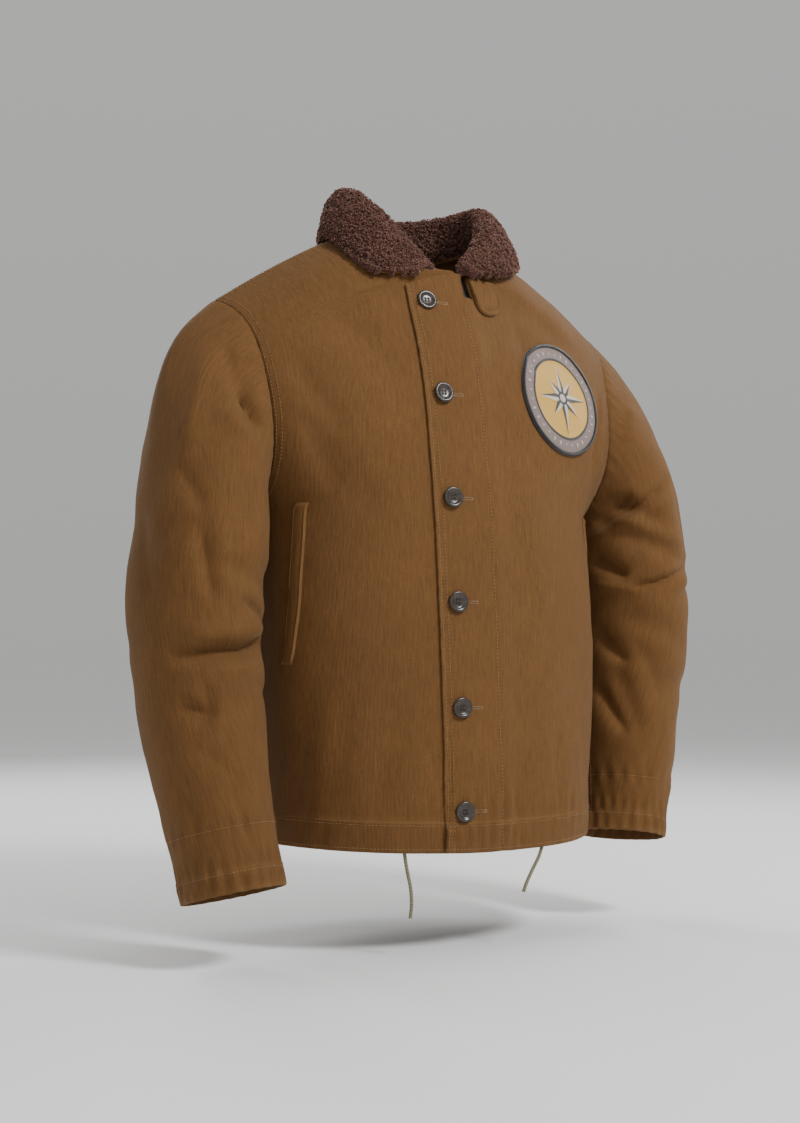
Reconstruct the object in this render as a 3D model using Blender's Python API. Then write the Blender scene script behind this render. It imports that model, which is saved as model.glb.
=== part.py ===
"""Deck jacket, held in its worn shape: two fronts with a buttoned storm flap, back, sleeves, pile
collar, throat tab, zip, slanted pocket welts, a round chest patch and the hem drawcord's ends.

The origin is level with the high points of the shoulders, midway between them. The front faces -Y
and +X is the wearer's left. Every cloth piece is a wall whose outer face is worked out from the
tables below. The torso's tables describe its left half, which is mirrored; the collar has a table
for each half.
"""
import math

import bmesh
import bpy
import numpy as np
from mathutils import Matrix

# Cloth and gaps
WALL = 0.003
SEAM_HALF_GAP = 0.0002
LIFT = 0.0004
FLAP_GAP = 0.0006

# Storm flap, measured along X from the centre front
NOTCH_WIDTH = 0.009
STEP_START = 0.024
STEP_END = -0.002

# Hem casing and cuff bands
CASING_HEIGHT = 0.030
CASING_RISE = 0.0012
CASING_EDGE = 0.006
ROW_HEIGHT = 0.341
CUFF_BAND = 0.020
CUFF_RISE = 0.0010
CUFF_EDGE = 0.004
SLEEVE_RADIUS = 0.065

# Row values of the torso grid
NECK_PIT = 1.63
NOTCH_ROW = 1.565
NECK_BACK = 1.81
SHOULDER = 2.0

# The centre front and the front neck: row, point, direction in which a row leaves it, reach
CENTRE_FRONT = [
    # row    x       y       z       dx    dy     dz     reach
    (0.000, 0.000, -0.158, -0.636, 1.00, 0.00, 0.00, 0.114),
    (0.180, 0.000, -0.157, -0.576, 1.00, 0.00, 0.00, 0.118),
    (0.440, 0.000, -0.151, -0.487, 1.00, 0.00, 0.00, 0.126),
    (0.730, 0.000, -0.144, -0.387, 1.00, 0.00, 0.00, 0.130),
    (1.000, 0.000, -0.137, -0.295, 1.00, 0.00, 0.00, 0.126),
    (1.160, 0.000, -0.128, -0.237, 1.00, 0.00, 0.00, 0.118),
    (1.290, 0.000, -0.1186, -0.185, 1.00, 0.00, -0.02, 0.110),
    (1.430, 0.000, -0.1055, -0.131, 1.00, 0.00, -0.04, 0.095),
    (1.565, 0.000, -0.0870, -0.077, 1.00, 0.02, -0.06, 0.080),
    (1.630, 0.000, -0.0790, -0.051, 1.00, 0.04, -0.08, 0.075),
    (1.740, 0.035, -0.0700, -0.043, 0.98, -0.06, -0.20, 0.065),
    (1.870, 0.063, -0.0450, -0.022, 0.95, -0.08, -0.33, 0.055),
    (2.000, 0.080, 0.0000, 0.000, 0.93, 0.00, -0.36, 0.055),
]

# The side seam and the front half of the armhole
FRONT_SIDE = [
    # row    x       y       z       dx    dy     dz     reach
    (0.000, 0.185, 0.000, -0.631, 0.00, 1.00, 0.00, 0.090),
    (0.180, 0.190, 0.000, -0.574, 0.00, 1.00, 0.00, 0.092),
    (0.440, 0.195, 0.000, -0.487, 0.00, 1.00, 0.00, 0.092),
    (0.730, 0.196, 0.000, -0.387, 0.00, 1.00, 0.00, 0.085),
    (0.980, 0.198, 0.000, -0.303, 0.04, 1.00, 0.00, 0.071),
    (1.000, 0.198, 0.000, -0.297, 0.06, 1.00, 0.00, 0.070),
    (1.120, 0.201, -0.033, -0.280, 0.30, 0.95, 0.00, 0.050),
    (1.240, 0.205, -0.056, -0.250, 0.55, 0.82, -0.05, 0.045),
    (1.360, 0.208, -0.064, -0.220, 0.65, 0.74, -0.10, 0.042),
    (1.490, 0.211, -0.062, -0.188, 0.72, 0.65, -0.15, 0.040),
    (1.620, 0.215, -0.052, -0.150, 0.78, 0.52, -0.25, 0.040),
    (1.760, 0.221, -0.037, -0.119, 0.82, 0.34, -0.40, 0.042),
    (1.880, 0.230, -0.018, -0.099, 0.82, 0.16, -0.52, 0.045),
    (2.000, 0.239, 0.005, -0.089, 0.82, 0.00, -0.57, 0.050),
]

# The centre back and the back neck
CENTRE_BACK = [
    # row    x       y       z       dx    dy     dz     reach
    (0.000, 0.000, 0.120, -0.631, 1.00, 0.00, 0.00, 0.112),
    (0.440, 0.000, 0.118, -0.487, 1.00, 0.00, 0.00, 0.120),
    (0.730, 0.000, 0.121, -0.387, 1.00, 0.00, 0.00, 0.120),
    (1.000, 0.000, 0.130, -0.290, 1.00, 0.00, 0.00, 0.118),
    (1.300, 0.000, 0.134, -0.185, 1.00, 0.00, 0.00, 0.112),
    (1.500, 0.000, 0.126, -0.115, 1.00, 0.00, 0.00, 0.100),
    (1.680, 0.000, 0.104, -0.057, 1.00, 0.00, -0.04, 0.085),
    (1.810, 0.000, 0.078, -0.015, 1.00, 0.02, -0.06, 0.070),
    (1.880, 0.036, 0.067, -0.012, 0.97, 0.06, -0.20, 0.062),
    (1.950, 0.066, 0.038, -0.005, 0.94, 0.06, -0.32, 0.055),
    (2.000, 0.080, 0.000, 0.000, 0.93, 0.00, -0.36, 0.055),
]

# The side seam and the back half of the armhole
BACK_SIDE = [
    # row    x       y       z       dx    dy     dz     reach
    (0.000, 0.185, 0.000, -0.631, 0.00, -1.00, 0.00, 0.080),
    (0.180, 0.190, 0.000, -0.574, 0.00, -1.00, 0.00, 0.080),
    (0.440, 0.195, 0.000, -0.487, 0.00, -1.00, 0.00, 0.078),
    (0.730, 0.196, 0.000, -0.387, 0.00, -1.00, 0.00, 0.078),
    (0.980, 0.198, 0.000, -0.303, 0.04, -1.00, 0.00, 0.070),
    (1.000, 0.198, 0.000, -0.297, 0.06, -1.00, 0.00, 0.070),
    (1.120, 0.201, 0.036, -0.280, 0.30, -0.95, 0.00, 0.050),
    (1.240, 0.205, 0.062, -0.250, 0.50, -0.86, 0.00, 0.042),
    (1.360, 0.208, 0.073, -0.216, 0.62, -0.78, -0.05, 0.040),
    (1.490, 0.211, 0.075, -0.182, 0.70, -0.70, -0.10, 0.040),
    (1.620, 0.215, 0.069, -0.148, 0.76, -0.60, -0.20, 0.040),
    (1.760, 0.221, 0.053, -0.119, 0.82, -0.42, -0.35, 0.042),
    (1.880, 0.230, 0.030, -0.099, 0.82, -0.20, -0.50, 0.045),
    (2.000, 0.239, 0.005, -0.089, 0.82, 0.00, -0.57, 0.050),
]

# Direction in which the sleeve leaves the armhole: armhole fraction, front half then back half
SLEEVE_START = [
    # at     dx     dy     dz
    (0.00, 0.45, 0.00, -0.90),
    (0.12, 0.50, -0.35, -0.80),
    (0.25, 0.62, -0.40, -0.68),
    (0.38, 0.78, -0.20, -0.60),
    (0.50, 0.82, 0.00, -0.57),
    (0.62, 0.78, 0.20, -0.60),
    (0.75, 0.62, 0.40, -0.68),
    (0.88, 0.50, 0.35, -0.80),
    (1.00, 0.45, 0.00, -0.90),
]

# Sleeve rings: centre, half width outwards, half width front to back
RIGHT_ARM = [
    # x       y       z       out    fore
    (0.2650, -0.020, -0.322, 0.0625, 0.081),
    (0.2715, -0.022, -0.370, 0.0640, 0.080),
    (0.2745, -0.026, -0.420, 0.0630, 0.077),
    (0.2745, -0.036, -0.480, 0.0590, 0.072),
    (0.2725, -0.050, -0.540, 0.0560, 0.067),
    (0.2685, -0.066, -0.600, 0.0520, 0.061),
    (0.2645, -0.079, -0.645, 0.0490, 0.057),
    (0.2625, -0.085, -0.669, 0.0480, 0.056),
]
LEFT_ARM = [
    # x       y       z       out    fore
    (0.2625, -0.020, -0.318, 0.0605, 0.081),
    (0.2680, -0.021, -0.360, 0.0625, 0.080),
    (0.2720, -0.019, -0.410, 0.0620, 0.077),
    (0.2700, -0.018, -0.470, 0.0590, 0.071),
    (0.2640, -0.022, -0.530, 0.0550, 0.066),
    (0.2570, -0.029, -0.590, 0.0510, 0.060),
    (0.2465, -0.036, -0.645, 0.0470, 0.056),
]

# Folds of the sleeves, as lines from (angle, z) to (angle, z). The angle is 0 at the inside of the
# arm, 90 in front, 180 outside and 270 behind. A negative depth is a trough.
RIGHT_FOLDS = [
    # angle0  z0    angle1  z1    width   depth
    (140, -0.446, 30, -0.432, 0.013, -0.0075),
    (130, -0.424, 40, -0.412, 0.012, 0.0040),
    (118, -0.352, 25, -0.382, 0.013, -0.0050),
    (112, -0.140, 104, -0.205, 0.012, -0.0060),
    (104, -0.205, 70, -0.232, 0.012, -0.0045),
    (150, -0.500, 70, -0.484, 0.013, -0.0035),
    (210, -0.300, 150, -0.345, 0.016, -0.0030),
    (215, -0.470, 300, -0.430, 0.015, -0.0055),
    (220, -0.400, 310, -0.380, 0.015, -0.0050),
    (330, -0.520, 250, -0.545, 0.014, -0.0040),
    (175, -0.585, 95, -0.560, 0.014, -0.0025),
]
LEFT_FOLDS = [
    # angle0  z0    angle1  z1    width   depth
    (20, -0.262, 92, -0.300, 0.012, -0.0070),
    (25, -0.300, 150, -0.352, 0.013, -0.0060),
    (30, -0.285, 110, -0.322, 0.011, 0.0035),
    (40, -0.400, 120, -0.432, 0.014, -0.0045),
    (35, -0.455, 65, -0.530, 0.013, -0.0055),
    (150, -0.480, 80, -0.470, 0.014, -0.0030),
    (215, -0.440, 300, -0.410, 0.015, -0.0055),
    (225, -0.375, 310, -0.350, 0.015, -0.0045),
    (320, -0.520, 240, -0.540, 0.014, -0.0035),
    (175, -0.570, 95, -0.585, 0.014, -0.0025),
]

# Soft folds of the torso, as lines from (x, z) to (x, z) on the front or the back
FRONT_FOLDS = [
    # x0      z0      x1      z1     width   depth
    (-0.150, -0.110, -0.085, -0.190, 0.018, -0.0030),
    (-0.110, -0.070, -0.090, -0.130, 0.014, 0.0020),
    (-0.178, -0.220, -0.120, -0.300, 0.020, -0.0030),
    (-0.110, -0.470, -0.135, -0.600, 0.022, -0.0025),
    (0.185, -0.250, 0.140, -0.350, 0.018, -0.0035),
    (0.110, -0.440, 0.130, -0.590, 0.022, -0.0025),
]
BACK_FOLDS = [
    # x0      z0      x1      z1     width   depth
    (0.180, -0.230, 0.115, -0.330, 0.020, -0.0040),
    (-0.180, -0.230, -0.115, -0.330, 0.020, -0.0040),
    (0.060, -0.400, 0.075, -0.590, 0.024, -0.0030),
    (-0.065, -0.380, -0.080, -0.580, 0.024, -0.0030),
    (-0.120, -0.110, 0.110, -0.118, 0.020, -0.0020),
]

# Collar stations from the centre back to the front end: neck seam, roll line, outer edge of the
# fall. The right half, whose X values are mirrored, lies lower in front than the left one.
LEFT_COLLAR = [
    # at     neck x, y, z             roll x, y, z              edge x, y, z
    (0.00, 0.000, 0.0780, -0.0150, 0.000, 0.0840, 0.0300, 0.000, 0.1180, -0.0260),
    (0.22, 0.036, 0.0670, -0.0120, 0.039, 0.0725, 0.0320, 0.050, 0.1000, -0.0240),
    (0.42, 0.066, 0.0380, -0.0050, 0.069, 0.0410, 0.0360, 0.087, 0.0520, -0.0170),
    (0.58, 0.080, 0.0000, 0.0000, 0.076, -0.0020, 0.0350, 0.108, 0.0000, -0.0065),
    (0.74, 0.066, -0.0400, -0.0190, 0.055, -0.0420, 0.0080, 0.090, -0.0520, -0.0290),
    (0.87, 0.045, -0.0620, -0.0350, 0.036, -0.0590, -0.0140, 0.060, -0.0790, -0.0420),
    (0.94, 0.028, -0.0725, -0.0450, 0.020, -0.0710, -0.0310, 0.036, -0.0860, -0.0480),
    (1.00, 0.002, -0.0790, -0.0500, 0.002, -0.0800, -0.0430, 0.008, -0.0900, -0.0500),
]
RIGHT_COLLAR = [
    # at     neck x, y, z             roll x, y, z              edge x, y, z
    (0.00, 0.000, 0.0780, -0.0150, 0.000, 0.0840, 0.0300, 0.000, 0.1180, -0.0260),
    (0.22, 0.036, 0.0670, -0.0120, 0.039, 0.0725, 0.0320, 0.050, 0.1000, -0.0240),
    (0.42, 0.066, 0.0380, -0.0050, 0.069, 0.0410, 0.0360, 0.087, 0.0520, -0.0170),
    (0.58, 0.080, 0.0000, 0.0000, 0.080, 0.0020, 0.0350, 0.112, 0.0000, -0.0080),
    (0.74, 0.066, -0.0400, -0.0190, 0.068, -0.0330, 0.0090, 0.110, -0.0480, -0.0370),
    (0.87, 0.045, -0.0620, -0.0350, 0.053, -0.0570, -0.0220, 0.094, -0.0760, -0.0530),
    (0.94, 0.028, -0.0725, -0.0450, 0.034, -0.0770, -0.0440, 0.062, -0.0910, -0.0580),
    (1.00, 0.002, -0.0790, -0.0500, 0.010, -0.0850, -0.0520, 0.040, -0.0960, -0.0600),
]
COLLAR_RIGHT_END = 0.915
COLLAR_TAPER_START = 0.86
COLLAR_TAPER = 0.45
COLLAR_CLOTH = 0.002
COLLAR_GAP = 0.0007
COLLAR_NECK_LIFT = 0.0012
PILE_DEPTH = 0.009
PILE_EDGE_DEPTH = 0.005

# Buttons: centre line from the centre front, heights, size
BUTTON_X = -0.047
BUTTON_HEIGHTS = (-0.0855, -0.182, -0.287, -0.390, -0.494, -0.595)
BUTTON_RADIUS = 0.0104
BUTTON_DEPTH = 0.0032
BUTTON_HOLE_RADIUS = 0.0012
BUTTON_HOLE_REACH = 0.0022

# Chest patch
PATCH_X = 0.115
PATCH_Z = -0.172
PATCH_RADIUS = 0.0615
PATCH_DEPTH = 0.0016

# Throat tab: outline across and down from its top inner corner
TAB_X = 0.0065
TAB_WIDTH = 0.038
TAB_TOP = -0.056
TAB_LENGTH = 0.037
TAB_DEPTH = 0.0035

# Pocket welts: ends of their centre line on the front, mirrored for the right one
WELT_TOP = (0.1765, -0.292)
WELT_BOTTOM = (0.1880, -0.452)
WELT_WIDTH = 0.015
WELT_DEPTH = 0.0022
WELT_LIFT = 0.0010

# Zip behind the flap
ZIP_HALF_WIDTH = 0.014
ZIP_DEPTH = 0.0012

# Drawcord ends, as hand-chosen routes from inside the hem casing
CORD_DIAMETER = 0.0036
LEFT_CORD = [
    (0.0560, -0.1473, -0.6180),
    (0.0545, -0.1478, -0.6320),
    (0.0490, -0.1493, -0.6450),
    (0.0400, -0.1503, -0.6580),
    (0.0330, -0.1503, -0.6700),
    (0.0290, -0.1498, -0.6800),
]
RIGHT_CORD = [
    (-0.1000, -0.1302, -0.6180),
    (-0.1005, -0.1307, -0.6340),
    (-0.0985, -0.1322, -0.6510),
    (-0.0955, -0.1337, -0.6680),
    (-0.0945, -0.1342, -0.6840),
    (-0.0960, -0.1342, -0.6980),
]

# Grid steps
LOW_ROWS = [0.0, 0.045, 0.086, 0.098, 0.18, 0.27, 0.36, 0.45, 0.54, 0.63, 0.72, 0.81, 0.905]
HIGH_ROWS = [1.0, 1.09, 1.18, 1.28, 1.38, 1.475, NOTCH_ROW, NECK_PIT, 1.72, NECK_BACK, 1.905, SHOULDER]
FLAP_COLUMNS = [-0.066, -0.056, -0.047, -0.032, -0.016, -0.002]
LEFT_COLUMNS = [NOTCH_WIDTH, STEP_START]
RIGHT_COLUMNS = [0.003, 0.016, 0.032, 0.047, 0.056, 0.066]
TOP_STEPS = 10
BACK_GAP = 0.012
CAP_STEPS = 7
ARM_STEPS = 22
COLLAR_STEPS = 13
STAND_STEPS = 3
FALL_STEPS = 5

MATERIALS = {
    # name       red    green  blue   roughness metallic
    "cloth": (0.195, 0.083, 0.022, 0.85, 0.0),
    "pile": (0.110, 0.040, 0.028, 0.95, 0.0),
    "button": (0.085, 0.070, 0.058, 0.35, 0.3),
    "patch": (0.180, 0.135, 0.115, 0.80, 0.0),
    "zip": (0.030, 0.025, 0.022, 0.60, 0.0),
    "cord": (0.150, 0.145, 0.085, 0.80, 0.0),
}


def smooth_row(table, at):
    """Row of a table at a value of its first column, on a smooth curve through all rows."""
    rows = np.array(table, float)
    keys = rows[:, 0]
    k = int(np.clip(np.searchsorted(keys, at, side="right") - 1, 0, len(keys) - 2))
    span = keys[k + 1] - keys[k]
    t = (at - keys[k]) / span

    def slope(i):
        low, high = max(i - 1, 0), min(i + 1, len(keys) - 1)
        return (rows[high, 1:] - rows[low, 1:]) / (keys[high] - keys[low])

    h00 = 2 * t ** 3 - 3 * t ** 2 + 1
    h10 = t ** 3 - 2 * t ** 2 + t
    h01 = 3 * t ** 2 - 2 * t ** 3
    h11 = t ** 3 - t ** 2
    return h00 * rows[k, 1:] + h10 * span * slope(k) + h01 * rows[k + 1, 1:] + h11 * span * slope(k + 1)


def ease(t):
    t = min(max(t, 0.0), 1.0)
    return t * t * (3 - 2 * t)


def unit(v):
    v = np.asarray(v, float)
    return v / max(np.linalg.norm(v), 1e-12)


def bezier(a, b, c, d, t):
    s = 1 - t
    return s ** 3 * a + 3 * s * s * t * b + 3 * s * t * t * c + t ** 3 * d


def torso(inner_table, outer_table, s, row):
    """Point on the left half of the front or back, s from the centre line (0) to the side (1)."""
    a = smooth_row(inner_table, row)
    b = smooth_row(outer_table, row)
    start, end = a[:3], b[:3]
    return bezier(start, start + unit(a[3:6]) * a[6], end - unit(b[3:6]) * b[6], end, s)


def front_base(s, row):
    return torso(CENTRE_FRONT, FRONT_SIDE, s, row)


def back_base(s, row):
    return torso(CENTRE_BACK, BACK_SIDE, s, row)


def base_normal(base, s, row, sign):
    step = 1e-3
    if s >= 1:
        side_table = FRONT_SIDE if base is front_base else BACK_SIDE
        du = unit(smooth_row(side_table, row)[3:6])
    else:
        du = base(s + step, row) - base(max(s - step, 0), row)
    dv = base(s, min(row + step, SHOULDER)) - base(s, max(row - step, 0))
    return unit(np.cross(du, dv)) * sign


def column_at(x, row):
    """The s value at which the front lies x from the centre line."""
    low, high = 0.0, 0.7
    for _ in range(30):
        mid = (low + high) / 2
        if front_base(mid, row)[0] < x:
            low = mid
        else:
            high = mid
    return (low + high) / 2


def line_fold(p, start, end, width, depth):
    """Height of one soft fold at p, which lies near the line from start to end."""
    along = end - start
    length = np.linalg.norm(along)
    t = np.dot(p - start, along) / length ** 2
    off = np.linalg.norm(p - start - np.clip(t, 0, 1) * along)
    fade = ease((t + 0.12) / 0.35) * ease((1.12 - t) / 0.35)
    shape = math.exp(-(off / width) ** 2) - 0.3 * math.exp(-(off / (2.2 * width)) ** 2)
    return depth * fade * shape


def torso_folds(table, point):
    p = np.array([point[0], point[2]])
    return sum(line_fold(p, np.array(f[0:2]), np.array(f[2:4]), f[4], f[5]) for f in table)


def border_fade(s, row):
    """Folds die out at the side seams, the armholes and the shoulder seams."""
    return ease((1 - s) / 0.12) * ease((SHOULDER - row) / 0.15)


def casing_rise(row):
    """The hem casing stands proud of the cloth above it."""
    past_edge = row - CASING_HEIGHT / ROW_HEIGHT
    return CASING_RISE * (1 - ease((past_edge + CASING_EDGE / 3) / CASING_EDGE))


def front_point(x_or_s, row, side, by_x=False, raised=None):
    """Outer face of a front. side is 1 for the left, -1 for the right; raised lifts the flap."""
    s = column_at(abs(x_or_s), row) if by_x else x_or_s
    p = front_base(s, row)
    n = base_normal(front_base, s, row, 1)
    mirrored = side < 0 or (by_x and x_or_s < 0)
    if mirrored:
        p = p * (-1, 1, 1)
        n = n * (-1, 1, 1)
    rise = torso_folds(FRONT_FOLDS, p) * border_fade(s, row) + casing_rise(row)
    if raised is not None:
        rise += raised * (WALL + FLAP_GAP)
    return p + n * rise


def flap_rise(x):
    """1 on the flap, 0 on the left front, and a soft step between them at the centre front."""
    return 1 - ease((x - STEP_END) / (STEP_START - STEP_END))


def grid_normals(grid, closed=False):
    """Normals of a grid of points, columns first; the second index may be a closed ring."""
    du = np.empty_like(grid)
    du[1:-1] = grid[2:] - grid[:-2]
    du[0] = grid[1] - grid[0]
    du[-1] = grid[-1] - grid[-2]
    dv = np.empty_like(grid)
    if closed:
        dv[:] = np.roll(grid, -1, axis=1) - np.roll(grid, 1, axis=1)
    else:
        dv[:, 1:-1] = grid[:, 2:] - grid[:, :-2]
        dv[:, 0] = grid[:, 1] - grid[:, 0]
        dv[:, -1] = grid[:, -1] - grid[:, -2]
    n = np.cross(du, dv)
    return n / np.maximum(np.linalg.norm(n, axis=2, keepdims=True), 1e-12)


class Panel:
    """One cloth piece: a grid of outer points, which cells of it are cloth, and its wall."""

    def __init__(self, name, grid, outward, thickness=WALL, closed=False, cells=None, seam=()):
        self.name = name
        self.grid = np.array(grid, float)
        self.closed = closed
        self.thickness = thickness
        self.normals = grid_normals(self.grid, closed) * outward
        rows, columns = self.grid.shape[:2]
        self.cells = cells or (lambda i, j: True)
        self.seam = set(seam)
        self.shape = (rows, columns)

    def key(self, i, j):
        return tuple(np.round(self.grid[i, j] * 2e4).astype(int))


def seam_normals(panels):
    """Average the normals where panels share a point, so that their walls meet on one mitre."""
    total = {}
    for panel in panels:
        for i in range(panel.shape[0]):
            for j in range(panel.shape[1]):
                key = panel.key(i, j)
                total.setdefault(key, []).append((panel, i, j))
    for entries in total.values():
        if len({id(e[0]) for e in entries}) < 2:
            continue
        mean = unit(sum(p.normals[i, j] for p, i, j in entries))
        for panel, i, j in entries:
            panel.normals[i, j] = mean


def pull_seams(panel, outer, inner):
    """Draw the seam edges of a panel back by half the seam gap."""
    rows, columns = panel.shape
    moves = np.zeros_like(outer)
    if "first" in panel.seam:
        moves[0] += outer[1] - outer[0]
    if "last" in panel.seam:
        moves[-1] += outer[-2] - outer[-1]
    if not panel.closed:
        if "low" in panel.seam:
            moves[:, 0] += outer[:, 1] - outer[:, 0]
        if "high" in panel.seam:
            moves[:, -1] += outer[:, -2] - outer[:, -1]
    size = np.linalg.norm(moves, axis=2, keepdims=True)
    moves = np.where(size > 0, moves / np.maximum(size, 1e-12), 0) * SEAM_HALF_GAP
    return outer + moves, inner + moves


def new_object(name, vertices, faces, material, smooth=True):
    mesh = bpy.data.meshes.new(name)
    bm = bmesh.new()
    made = [bm.verts.new(v) for v in vertices]
    for face in faces:
        bm.faces.new([made[i] for i in face])
    loose = [v for v in bm.verts if not v.link_faces]
    bmesh.ops.delete(bm, geom=loose, context="VERTS")
    bmesh.ops.recalc_face_normals(bm, faces=bm.faces[:])
    bm.to_mesh(mesh)
    bm.free()
    obj = bpy.data.objects.new(name, mesh)
    bpy.context.collection.objects.link(obj)
    mesh.materials.append(material)
    if smooth:
        mesh.shade_smooth()
        mesh.set_sharp_from_angle(angle=math.radians(50))
    return obj


def wall_object(panel, material):
    """The closed wall of a panel: outer face, inner face and an edge round every border.

    The edge faces of two panels at one seam are split along the same diagonals.
    """
    inner = panel.grid - panel.normals * panel.thickness
    outer, inner = pull_seams(panel, panel.grid, inner)
    rows, columns = panel.shape
    count = rows * columns
    vertices = [tuple(p) for p in outer.reshape(-1, 3)] + [tuple(p) for p in inner.reshape(-1, 3)]
    faces, edges = [], {}
    last = columns if panel.closed else columns - 1
    for i in range(rows - 1):
        for j in range(last):
            if not panel.cells(i, j):
                continue
            k = (j + 1) % columns
            a, b = i * columns + j, (i + 1) * columns + j
            c, d = (i + 1) * columns + k, i * columns + k
            faces += [[a, b, c], [a, c, d]]
            faces += [[count + a, count + c, count + b], [count + a, count + d, count + c]]
            for edge in ((a, b), (b, c), (c, d), (d, a)):
                edges[edge] = True
    for a, b in edges:
        if (b, a) in edges:
            continue
        if panel.key(*divmod(a, columns)) < panel.key(*divmod(b, columns)):
            faces += [[b, a, count + b], [a, count + a, count + b]]
        else:
            faces += [[b, a, count + a], [b, count + a, count + b]]
    return new_object(panel.name, vertices, faces, material)


def torso_column(near_x, near_step, row, top_row, solve):
    """The s value of a column that keeps its distance from the centre below the neck."""
    return solve(near_x, row) if row <= top_row else near_step / TOP_STEPS


def front_panel(side):
    """A front as a grid of columns (first index) and rows. The left one carries the flap."""
    rows = LOW_ROWS + HIGH_ROWS
    flap = FLAP_COLUMNS if side > 0 else []
    near = LEFT_COLUMNS if side > 0 else RIGHT_COLUMNS
    grid = []
    for x in flap:
        grid.append([front_point(x, min(r, NECK_PIT), 1, True, flap_rise(x)) for r in rows])
    for step, x in enumerate(near):
        column = []
        for r in rows:
            s = torso_column(x, step, r, NECK_PIT, column_at)
            rise = flap_rise(x) if side > 0 and r <= NECK_PIT else None
            column.append(front_point(s, r, side, False, rise))
        grid.append(column)
    last_near = len(near) - 1
    steps = TOP_STEPS - last_near
    for k in range(1, steps + 1):
        column = []
        for r in rows:
            start = torso_column(near[-1], last_near, r, NECK_PIT, column_at)
            column.append(front_point(start + (1 - start) * k / steps, r, side))
        grid.append(column)
    notch = rows.index(NOTCH_ROW)
    pit = rows.index(NECK_PIT)
    flap_cells = len(flap)

    def cells(i, j):
        if i < flap_cells - 1:
            return j < pit
        if i == flap_cells - 1:
            return j < notch
        return True

    name = "left_front" if side > 0 else "right_front"
    return Panel(name, grid, side, cells=cells, seam={"last", "high"})


def back_point(s, row):
    """Outer face of the back, s from -1 at the right side to 1 at the left side."""
    side = -1 if s < 0 else 1
    p = back_base(abs(s), row) * (side, 1, 1)
    n = base_normal(back_base, abs(s), row, -1) * (side, 1, 1)
    folds = torso_folds(BACK_FOLDS, p) * border_fade(abs(s), row)
    return p + n * (folds + casing_rise(row))


def back_column(x, row):
    """The s value at which the back lies x from its centre line."""
    low, high = 0.0, 0.5
    for _ in range(30):
        mid = (low + high) / 2
        if back_base(mid, row)[0] < x:
            low = mid
        else:
            high = mid
    return (low + high) / 2


def back_panel():
    rows = LOW_ROWS + HIGH_ROWS
    half = []
    for k in range(TOP_STEPS + 1):
        column = []
        for r in rows:
            start = torso_column(BACK_GAP, 0, r, NECK_BACK, back_column)
            column.append(start + (1 - start) * k / TOP_STEPS)
        half.append(column)
    grid = [[back_point(-s - 1e-12, r) for s, r in zip(column, rows)] for column in half[::-1]]
    grid += [[back_point(s, r) for s, r in zip(column, rows)] for column in half]
    neck = rows.index(NECK_BACK)

    def cells(i, j):
        return i != TOP_STEPS or j < neck

    return Panel("back", grid, -1, cells=cells, seam={"first", "last", "high"})


def arm_frame(table, at):
    """Centre, axis, outward and backward directions and half widths at a place along the arm."""
    keyed = [(i / (len(table) - 1),) + row for i, row in enumerate(table)]
    here = smooth_row(keyed, at)
    step = 0.01
    ahead = smooth_row(keyed, min(at + step, 1))[:3]
    behind = smooth_row(keyed, max(at - step, 0))[:3]
    axis = unit(ahead - behind)
    out = unit(np.array([1.0, 0, 0]) - axis * axis[0])
    back = unit(np.cross(out, axis)) * -1
    if back[1] < 0:
        back = -back
    return here[:3], axis, out, back, here[3], here[4]


def arm_point(table, at, fraction):
    centre, axis, out, back, wide, deep = arm_frame(table, at)
    angle = 2 * math.pi * fraction
    return centre - out * wide * math.cos(angle) - back * deep * math.sin(angle)


def sleeve_folds(table, fraction, z):
    """Height of all folds at a place on the sleeve, measured on its unrolled face."""
    total = 0.0
    for angle0, z0, angle1, z1, width, depth in table:
        degrees = 360 * fraction
        for turn in (-360, 0, 360):
            p = np.array([math.radians(degrees + turn) * SLEEVE_RADIUS, z])
            start = np.array([math.radians(angle0) * SLEEVE_RADIUS, z0])
            end = np.array([math.radians(angle1) * SLEEVE_RADIUS, z1])
            total += line_fold(p, start, end, width, depth)
    return total


def armhole_loop():
    """Points of the left armhole from the underarm up the front and down the back."""
    front = [front_base(1.0, r) for r in HIGH_ROWS]
    back = [back_base(1.0, r) for r in HIGH_ROWS]
    return front + back[-2:0:-1]


def sleeve_panel(side):
    table = LEFT_ARM if side > 0 else RIGHT_ARM
    folds = LEFT_FOLDS if side > 0 else RIGHT_FOLDS
    loop = armhole_loop()
    around = len(loop)
    axis = arm_frame(table, 0)[1]
    grid = []
    for i in range(CAP_STEPS):
        t = i / CAP_STEPS
        ring = []
        for j, start in enumerate(loop):
            f = j / around
            end = arm_point(table, 0, f)
            reach = np.linalg.norm(end - start)
            leave = unit(smooth_row(SLEEVE_START, f))
            ring.append(bezier(start, start + leave * reach * 0.36, end - axis * reach * 0.36, end, t))
        grid.append(ring)
    for i in range(ARM_STEPS + 1):
        grid.append([arm_point(table, i / ARM_STEPS, j / around) for j in range(around)])
    grid = np.array(grid)
    if side < 0:
        grid = grid * (-1, 1, 1)
    normals = grid_normals(grid, True) * side
    cuff_z = grid[-1, :, 2]
    for i in range(1, len(grid)):
        for j in range(around):
            p = grid[i, j]
            near_seam = ease(i / 3)
            rise = sleeve_folds(folds, j / around, p[2]) * near_seam
            rise += CUFF_RISE * (1 - ease((p[2] - cuff_z[j] - CUFF_BAND) / CUFF_EDGE))
            grid[i, j] = p + normals[i, j] * rise
    name = "left_sleeve" if side > 0 else "right_sleeve"
    return Panel(name, grid, side, closed=True, seam={"first"})


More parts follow.
